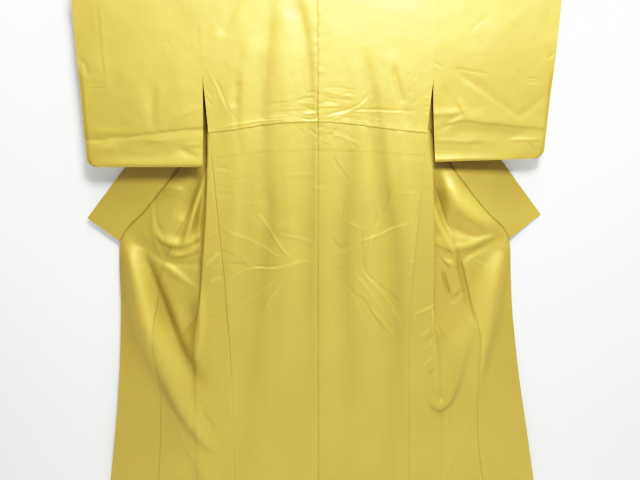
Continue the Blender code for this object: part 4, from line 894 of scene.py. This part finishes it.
def collarHalf(side):
    around = np.linspace(0, 1, 12)[:-1] * math.pi / 2
    inside = kimono["neckHalfWidth"] - collar["inset"]
    backPlaces = wrapOverBar(inside * np.sin(around), kimono["neckDrop"] * np.cos(around) - 0.0003, -wrapRadius)
    backWays = np.tile([0.0, 0.0, 1.0], (len(backPlaces), 1))
    top = np.array([[inside, 0.0060, shoulderZ + 0.0008], [inside + 0.0030, 0.0160, shoulderZ + 0.0010]])
    topWays = np.array([[0.06, 0.05, 1.0], [0.25, 0.30, 0.92]])
    flat = np.array(collar["fallingRows"] + (collarEndDepth[side],))
    inner, outer = (np.stack(frontLine(side, name, flat), axis=-1) for name in ("okumiSeam", "outerLine"))
    falling = np.where((flat >= kimono["okumiTipDepth"])[:, None], outer, inner)
    falling[:, 2] = shoulderZ - falling[:, 2]
    slopes = unit(np.gradient(falling, axis=0))
    # the long fall keeps one direction, so that both edges of the collar run straight to the skewed end
    steady = ease(0.46, 0.56, flat)[:, None]
    slopes = unit(slopes * (1 - steady) + slopes[np.argmin(abs(flat - collar["steadyFrom"]))] * steady)
    standing = 1 - ease(0.0, 0.16, flat)
    ways = np.stack([-slopes[:, 2], 0.60 * standing, slopes[:, 0] + 0.5 * standing], axis=-1)
    falling[:, 1] += 0.0048 * (1 - ease(0.05, 0.15, flat))
    places, ways = np.concatenate([backPlaces, top, falling]), np.concatenate([backWays, topWays, ways])
    run = runOf(places)
    wanted = np.linspace(0, run[-1], round(run[-1] / collar["step"]) + 1)
    places, ways = (np.stack([smooth(run, values, wanted) for values in rows.T], axis=1)
                    for rows in (places, ways))
    width = collar["foldedWidth"] + (collar["width"] - collar["foldedWidth"]) * ease(0.25, 0.62, wanted)
    lean = collar["lean"][side] * ease(0.30, 0.90, wanted)
    columns = spacedPlaces(collar["columns"])
    share = (columns / columns[-1])[None, :, None]
    points = places[:, None, :] + unit(ways)[:, None, :] * (collar["seamGap"] + width[:, None, None] * share)
    points[..., 1] += lean[:, None] * share[..., 0]
    # from under the sleeve's hem the outer edge runs straight to the tip
    first = np.searchsorted(wanted, collar["straightFrom"])
    straight = (np.arange(len(wanted)) - first) / (len(wanted) - 1 - first)
    straightEdge = points[first, -1] + (points[-1, -1] - points[first, -1]) * straight[:, None]
    fix = (straightEdge - points[:, -1]) * (straight >= 0)[:, None]
    fix[:, 1] = 0
    points += fix[:, None, :] * share
    onFront = ease(0.30, 0.45, wanted)[:, None]
    relief = frontRelief(side, points[..., 0], shoulderZ - points[..., 2])
    seamDip = collar["seamDip"] * (1 - ease(0.0, 0.0060, share[..., 0] * width[:, None]))
    points[..., 1] -= (seamDip + relief) * onFront
    points[..., 0] *= signs[side]
    return points, wanted


def sheetNormals(points):
    return unit(np.cross(np.gradient(points, axis=1), np.gradient(points, axis=0)))


def gridFaces(index):
    return np.stack([index[:-1, :-1], index[:-1, 1:], index[1:, 1:], index[1:, :-1]], axis=-1).reshape(-1, 4)


def rimOf(index):
    return np.concatenate([index[0, :], index[1:, -1], index[-1, -2::-1], index[-2:0:-1, 0]])


def liningMaterial(lining, inside):
    # the inner faces are white, or gold near the hem or near the cuff
    middle = (inside[:-1, :-1] + inside[1:, 1:]) / 2
    across, depth = np.abs(middle[..., 0]), shoulderZ - middle[..., 2]
    start, end = linings["whiteAcross"]
    gold = {"plain": across < 0, "hem": depth > kimono["backLength"] - linings["goldFromHem"],
            "cuff": (across > end) | (across < start)}[lining]
    return np.where(gold, 2, 1)


def makeSheet(name, points, thickness, outerSide, materials, lining, paintedShading=None):
    # a closed thin wall: the outer face has every point, the lining every second one, and the rim joins them
    paintedShading = oddGrid(np.ones(points.shape[:2]) if paintedShading is None else paintedShading)
    points = oddGrid(points)
    normals = sheetNormals(points) * outerSide
    outside, inside = points + normals * thickness / 2, (points - normals * thickness / 2)[::2, ::2]
    count, insideCount = paintedShading.size, inside.shape[0] * inside.shape[1]
    outerIndex = np.arange(count).reshape(paintedShading.shape)
    innerIndex = count + np.arange(insideCount).reshape(inside.shape[:2])
    outerFaces, innerFaces = gridFaces(outerIndex).tolist(), gridFaces(innerIndex)[:, ::-1].tolist()
    outerRim, innerRim = rimOf(outerIndex).tolist(), rimOf(innerIndex).tolist()
    rimFaces = []
    for place, (d, e) in enumerate(zip(innerRim, innerRim[1:] + innerRim[:1])):
        a, b, c = outerRim[2 * place], outerRim[2 * place + 1], outerRim[(2 * place + 2) % len(outerRim)]
        rimFaces += [(b, a, d), (b, d, e), (c, b, e)]
    faces = outerFaces + innerFaces + rimFaces
    if outerSide < 0:
        faces = [face[::-1] for face in faces]
    mesh = bpy.data.meshes.new(name)
    mesh.from_pydata(np.concatenate([outside.reshape(-1, 3), inside.reshape(-1, 3)]).tolist(), [], faces)
    # the cloth's own measures, for its weave
    runAcross = np.cumsum(np.linalg.norm(np.diff(points, axis=1, prepend=points[:, :1]), axis=2), axis=1)
    runAlong = np.cumsum(np.linalg.norm(np.diff(points, axis=0, prepend=points[:1]), axis=2), axis=0).mean(axis=1)
    flat = np.stack([runAcross, np.broadcast_to(runAlong[:, None], runAcross.shape)], axis=-1)
    flat = np.concatenate([flat.reshape(-1, 2), flat[::2, ::2].reshape(-1, 2)])
    uv = mesh.uv_layers.new(name="cloth")
    loops = np.zeros(len(mesh.loops), dtype=np.int32)
    mesh.loops.foreach_get("vertex_index", loops)
    uv.data.foreach_set("uv", flat[loops].ravel())
    # painted shade and painted highlight for each outer point, multiplied into the silk's colour; the lining gets
    # none
    tones = mesh.attributes.new("paintedShading", "FLOAT", "POINT")
    tones.data.foreach_set("value", np.concatenate([paintedShading.ravel(), np.ones(insideCount)]))
    for material in materials:
        mesh.materials.append(material)
    chosen = np.zeros(len(faces), dtype=np.int32)
    chosen[len(outerFaces) : len(outerFaces) + len(innerFaces)] = liningMaterial(lining, inside).ravel()
    mesh.polygons.foreach_set("material_index", chosen)
    mesh.update()
    mesh.shade_smooth()
    mesh.set_sharp_from_angle(angle=math.radians(70))
    piece = bpy.data.objects.new(name, mesh)
    bpy.context.scene.collection.objects.link(piece)
    return piece


# Silk: a fine crepe weave with a soft sheen
silk = {
    "colour": (0.500, 0.392, 0.098),
    "roughness": 0.52,
    "sheen": 0.10,
    "inputs": {"Metallic": 0.40, "IOR": 1.80, "Specular IOR Level": 0.50, "Specular Tint": (1.0, 1.0, 1.0, 1.0),
               "Sheen Roughness": 0.35, "Sheen Tint": (1.0, 0.93, 0.70, 1.0)},
    "weavePitch": 0.00042,
    "weaveStrength": 0.10,
    # painted shade in hollows, painted highlight on crests, and painted highlight and shade on thin creases, as
    # shares of the colour
    "paintedHollowShade": 0.20,
    "paintedCrestHighlight": 0.16,
    "paintedCreaseShading": 0.10,
}
linings = {"roughness": 0.42, "sheen": 0.15, "white": (0.80, 0.785, 0.73), "gold": (0.600, 0.440, 0.085),
           "goldFromHem": 0.56, "whiteAcross": (0.345, 0.52)}


def fill(node, inputs):
    # inputs of a node: a value is set, an output of another node is linked
    for name, value in inputs.items():
        if isinstance(value, bpy.types.NodeSocket):
            node.id_data.links.new(value, node.inputs[name])
        else:
            node.inputs[name].default_value = value
    return node


def addNode(tree, kind, inputs, **settings):
    node = tree.nodes.new(kind)
    for name, value in settings.items():
        setattr(node, name, value)
    return fill(node, inputs)


def newMaterial(name):
    material = bpy.data.materials.new(name)
    material.use_nodes = True
    tree = material.node_tree
    return material, tree, tree.nodes["Principled BSDF"], addNode(tree, "ShaderNodeTexCoord", {}).outputs["Object"]


def multiplied(tree, first, second):
    return addNode(tree, "ShaderNodeMix", {"Factor": 1.0, "A": first, "B": second},
                   data_type="RGBA", blend_type="MULTIPLY").outputs["Result"]


def stretchedNoise(tree, place, stretch, noise):
    stretched = addNode(tree, "ShaderNodeMapping", {"Vector": place, "Scale": stretch})
    return addNode(tree, "ShaderNodeTexNoise", {"Vector": stretched.outputs[0], **noise}).outputs["Fac"]


def clothMaterial(name, colour, roughness, sheen):
    material, tree, shader, place = newMaterial(name)
    uv = addNode(tree, "ShaderNodeUVMap", {}, uv_map="cloth").outputs[0]
    # slow colour drift of the dye, and thread-to-thread streaks along both ways of the weave
    drift = addNode(tree, "ShaderNodeTexNoise", {"Vector": place, "Scale": 5.0, "Detail": 3.0})
    streaks = stretchedNoise(tree, uv, (60.0, 900.0, 1.0), {"Scale": 1.0, "Detail": 4.0, "Roughness": 0.65})
    both = addNode(tree, "ShaderNodeMath", {0: streaks, 1: 0.55, 2: drift.outputs["Fac"]},
                   operation="MULTIPLY_ADD")
    ramp = addNode(tree, "ShaderNodeMapRange", {"Value": both.outputs[0], "From Min": 0.45, "From Max": 1.10,
                                                "To Min": 0.94, "To Max": 1.05})
    tinted = multiplied(tree, colour + (1.0,), ramp.outputs[0])
    # painted shade and painted highlight, read from the sheet's points and multiplied into the colour
    paintedShading = addNode(tree, "ShaderNodeAttribute", {}, attribute_name="paintedShading")
    # crepe: short broken ribs across the cloth
    pitch = silk["weavePitch"]
    ribs = stretchedNoise(tree, uv, (0.35 / pitch, 1 / pitch, 1.0),
                          {"Scale": 1.0, "Detail": 2.0, "Roughness": 0.5})
    bump = addNode(tree, "ShaderNodeBump", {"Strength": silk["weaveStrength"], "Distance": 0.0002, "Height": ribs})
    fill(shader, {"Base Color": multiplied(tree, tinted, paintedShading.outputs["Fac"]), "Normal": bump.outputs[0],
                  "Roughness": roughness, "Sheen Weight": sheen, **silk["inputs"]})
    return material


goldSilk = clothMaterial("goldSilk", silk["colour"], silk["roughness"], silk["sheen"])
whiteLining = clothMaterial("whiteLining", linings["white"], linings["roughness"], linings["sheen"])
goldLining = clothMaterial("goldLining", linings["gold"], linings["roughness"], linings["sheen"])
print("cloth materials made")


def finishSheet(piece, replaced):
    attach(piece, "root")
    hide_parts(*replaced)


# Painted shade: by how much the silk's colour is darkened along the seams, over what width, and the fold height at
# which the painted fold shade tells in full
paintedShade = {
    "centreSeam": (0.14, 0.0028),
    "sideSeam": {"left": 0.34, "right": 0.12},
    "sideSeamWidth": 0.0022,
    "okumiSeam": (0.30, 0.0024),
    "collarSeam": (0.38, 0.0025),
    "backReach": 0.012,
    "frontReach": 0.020,
    "frontCreases": 0.6,
    "stripCreases": 1.4,
}
thickness, faceMaterials = kimono["clothThickness"], [goldSilk, whiteLining, goldLining]
for side, sign in signs.items():
    behind, before = backPart(side), frontPart(side)
    across, depth = behind[..., 0], shoulderZ - behind[..., 2]
    # painted shade along the centre seam and the side seam, with painted shade and highlight on the back's folds
    # and creases
    paintedSeamShade, width = paintedShade["centreSeam"]
    backPaintedShading = paintedFoldShading(backFolds, across, depth, paintedShade["backReach"]) * (1 - paintedSeamShade * bell(across, width))
    sideSeamPaintedShade = bell(across - across[:, :1], paintedShade["sideSeamWidth"]) * ease(0.43, 0.48, depth)
    backPaintedShading *= 1 - paintedShade["sideSeam"][side] * sideSeamPaintedShade
    backPaintedShading += paintedCreaseShading(backCreases, *unevenPlace(across, depth)) * (0.3 + 0.7 * ease(0.42, 0.60, depth))
    x, across, depth = before[..., 0], np.abs(before[..., 0]), shoulderZ - before[..., 2]
    # painted shade and highlight on the front's folds and creases, faded out on the layers nearest the viewer
    frontPaintedShading = paintedFoldShading(frontFolds[side], across, depth, paintedShade["frontReach"])
    sway, sharpness = ripple(front["sway"], x, depth), front["creaseSharpness"]
    frontPaintedShading += paintedShade["frontCreases"] * paintedCreaseShading(frontCreases[side], x + sway, depth + sway, sharpness)
    frontPaintedShading = 1 + (frontPaintedShading - 1) * ease(0.0, 0.03, before[..., 1] + 0.012)
    # painted highlight and shade on the strip's creases
    onStrip = np.cumsum(np.diff(across, axis=1, prepend=across[:, :1]) < -1e-5, axis=1) == 0
    frontPaintedShading += paintedShade["stripCreases"] * paintedCreaseShading(stripCreases, x, depth, sharpness) * onStrip
    points, paintedShading = np.concatenate([behind, before]), np.concatenate([backPaintedShading, frontPaintedShading])
    piece = makeSheet("bodyCloth_" + side, points, thickness, -sign, faceMaterials, "hem", paintedShading)
    finishSheet(piece, ["back_" + side, "front_" + side])
    points = okumiSheet(side)
    across = np.abs(points[..., 0])
    # painted shade along the okumi seam, with painted fold shade and highlight
    paintedSeamShade, width = paintedShade["okumiSeam"]
    okumiPaintedShading = paintedFoldShading(frontFolds[side], across, shoulderZ - points[..., 2], paintedShade["frontReach"])
    okumiPaintedShading *= 1 - paintedSeamShade * bell(across - across[:, :1] - okumi["underlap"], width)
    piece = makeSheet("okumiCloth_" + side, points, thickness, -sign, faceMaterials, "hem", okumiPaintedShading)
    finishSheet(piece, ["okumi_" + side])
    piece = makeSheet("sleeveCloth_" + side, sleeveSheet(side), thickness, sign, faceMaterials, "cuff")
    finishSheet(piece, ["sleeve_" + side])
    print("body, okumi and sleeve made:", side)

(leftBand, leftRun), (rightBand, rightRun) = collarHalf("left"), collarHalf("right")
band, bandRun = np.concatenate([leftBand[::-1], rightBand[1:]]), np.concatenate([leftRun[::-1], rightRun[1:]])
# painted shade along the collar seam
paintedSeamShade, width = paintedShade["collarSeam"]
fromSeam = np.linalg.norm(band - band[:, :1], axis=2)
collarPaintedShading = 1 - paintedSeamShade * bell(fromSeam, width) * (bandRun > 0.30)[:, None]
piece = makeSheet("collarCloth", band, thickness, -1, [goldSilk, whiteLining], "plain", collarPaintedShading)
finishSheet(piece, ["collar"])
outside = band - sheetNormals(band) * overCollar["standOff"]
outside[:, 0] += (outside[:, 1] - outside[:, 0]) * 0.4
piece = makeSheet("overCollarCloth", outside[bandRun < overCollar["halfLength"]], overCollar["thickness"], -1,
                  [goldSilk, goldSilk], "plain")
finishSheet(piece, ["over_collar"])
print("collar made")


# The hanger keeps its solids, with a finish of their own
def woodMaterial(name):
    material, tree, shader, place = newMaterial(name)
    grain = stretchedNoise(tree, place, (1.6, 60.0, 60.0),
                           {"Scale": 2.0, "Detail": 6.0, "Roughness": 0.6, "Distortion": 0.6})
    ramp = addNode(tree, "ShaderNodeValToRGB", {"Fac": grain})
    stops = ((0.32, (0.40, 0.25, 0.13, 1.0)), (0.68, (0.66, 0.48, 0.29, 1.0)))
    for element, stop in zip(ramp.color_ramp.elements, stops):
        element.position, element.color = stop
    bump = addNode(tree, "ShaderNodeBump", {"Strength": 0.15, "Distance": 0.0004, "Height": grain})
    fill(shader, {"Base Color": ramp.outputs["Color"], "Normal": bump.outputs[0], "Roughness": 0.42})
    return material


def steelMaterial(name):
    material, tree, shader, place = newMaterial(name)
    marks = addNode(tree, "ShaderNodeTexNoise", {"Vector": place, "Scale": 900.0, "Detail": 3.0})
    rough = addNode(tree, "ShaderNodeMapRange", {"Value": marks.outputs["Fac"], "To Min": 0.18, "To Max": 0.34})
    fill(shader, {"Roughness": rough.outputs[0], "Base Color": (0.72, 0.72, 0.73, 1.0), "Metallic": 1.0})
    return material


for nodeName, material in (("hanger_rod", woodMaterial("paleWood")), ("hanger_hook", steelMaterial("hookSteel"))):
    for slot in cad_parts[nodeName].material_slots:
        slot.material = material
print("hanger finished")

# Wall behind, pale floor, lights, camera and the picture's tones
stage = {
    "wallY": 0.052,
    "floorZ": -1.760,
    "wallTop": 2.5,
    "reach": 4,
    "wallColour": (0.60, 0.61, 0.60),
    "wallGlow": 0.34,
    "floorColour": (0.80, 0.80, 0.79),
    "worldStrength": 0.26,
    "lights": {
        "keyLight": {"at": (0.26, -1.35, 0.68), "to": (0.0, 0.0, -0.50), "size": (0.50, 0.50), "power": 51.0},
        "ceilingLight": {"at": (0.42, -0.82, 1.66), "to": (0.02, 0.0, -0.58), "size": (1.9, 0.40), "power": 60.0},
    },
    "cameraAt": (0.005, -1.637, shoulderZ - 0.2287),
    "cameraPitch": 16.13,
    "lens": 33.75,
    "sensorWidth": 36.0,
    "tones": ((0.029, 0.010), (0.097, 0.048), (0.181, 0.127), (0.400, 0.402), (0.555, 0.600), (0.675, 0.730),
              (0.804, 0.840), (0.895, 0.896), (1.053, 0.956), (1.254, 0.990)),
    "brightest": 1.6,
}
scene = bpy.context.scene


def stagePlane(name, corners, colour, glow, clearFromBehind):
    mesh = bpy.data.meshes.new(name)
    mesh.from_pydata(corners, [], [(0, 1, 2, 3)])
    plane = bpy.data.objects.new(name, mesh)
    scene.collection.objects.link(plane)
    material, tree, shader = newMaterial(name)[:3]
    fill(shader, {"Base Color": colour + (1.0,), "Roughness": 0.9, "Specular IOR Level": 0.2,
                  "Emission Color": colour + (1.0,), "Emission Strength": glow})
    if clearFromBehind:
        sides = addNode(tree, "ShaderNodeNewGeometry", {})
        clear = addNode(tree, "ShaderNodeBsdfTransparent", {})
        mix = addNode(tree, "ShaderNodeMixShader", {0: sides.outputs["Backfacing"], 1: shader.outputs[0],
                                                    2: clear.outputs[0]})
        fill(tree.nodes["Material Output"], {"Surface": mix.outputs[0]})
    mesh.materials.append(material)


wallY, floorZ, wallTop, reach = (stage[name] for name in ("wallY", "floorZ", "wallTop", "reach"))
corners = ((-reach, floorZ), (reach, floorZ), (reach, wallTop), (-reach, wallTop))
stagePlane("wall", [(x, wallY, z) for x, z in corners], stage["wallColour"], stage["wallGlow"], True)
corners = ((-reach, -reach), (reach, -reach), (reach, reach), (-reach, reach))
stagePlane("floor", [(x, y, floorZ) for x, y in corners], stage["floorColour"], 0.0, False)

world = bpy.data.worlds.new("studio")
world.use_nodes = True
fill(world.node_tree.nodes["Background"], {"Color": (1.0, 1.0, 1.0, 1.0), "Strength": stage["worldStrength"]})
scene.world = world

for name, light in stage["lights"].items():
    data = bpy.data.lights.new(name, "AREA")
    data.shape = "RECTANGLE"
    data.size, data.size_y = light["size"]
    data.energy = light["power"]
    lamp = bpy.data.objects.new(name, data)
    scene.collection.objects.link(lamp)
    x, y, z = (there - here for here, there in zip(light["at"], light["to"]))
    lamp.location = light["at"]
    lamp.rotation_euler = (math.pi / 2 + math.atan2(z, math.hypot(x, y)), 0, math.atan2(y, x) - math.pi / 2)

cameraData = bpy.data.cameras.new("camera")
cameraData.lens, cameraData.sensor_width = stage["lens"], stage["sensorWidth"]
camera = bpy.data.objects.new("camera", cameraData)
scene.collection.objects.link(camera)
camera.location = stage["cameraAt"]
camera.rotation_euler = (math.radians(90 - stage["cameraPitch"]), 0, 0)
scene.camera = camera

view = scene.view_settings
view.view_transform = "Standard"
view.use_curve_mapping = True
view.curve_mapping.use_clip = False
view.curve_mapping.clip_max_x = stage["brightest"]
toneCurve = view.curve_mapping.curves[3]
for x, y in stage["tones"]:
    toneCurve.points.new(x, y)
for point in toneCurve.points:
    if tuple(round(value, 4) for value in point.location) == (1.0, 1.0):
        point.location = (stage["brightest"], 1.0)
view.curve_mapping.update()
print("stage, lights and camera set")
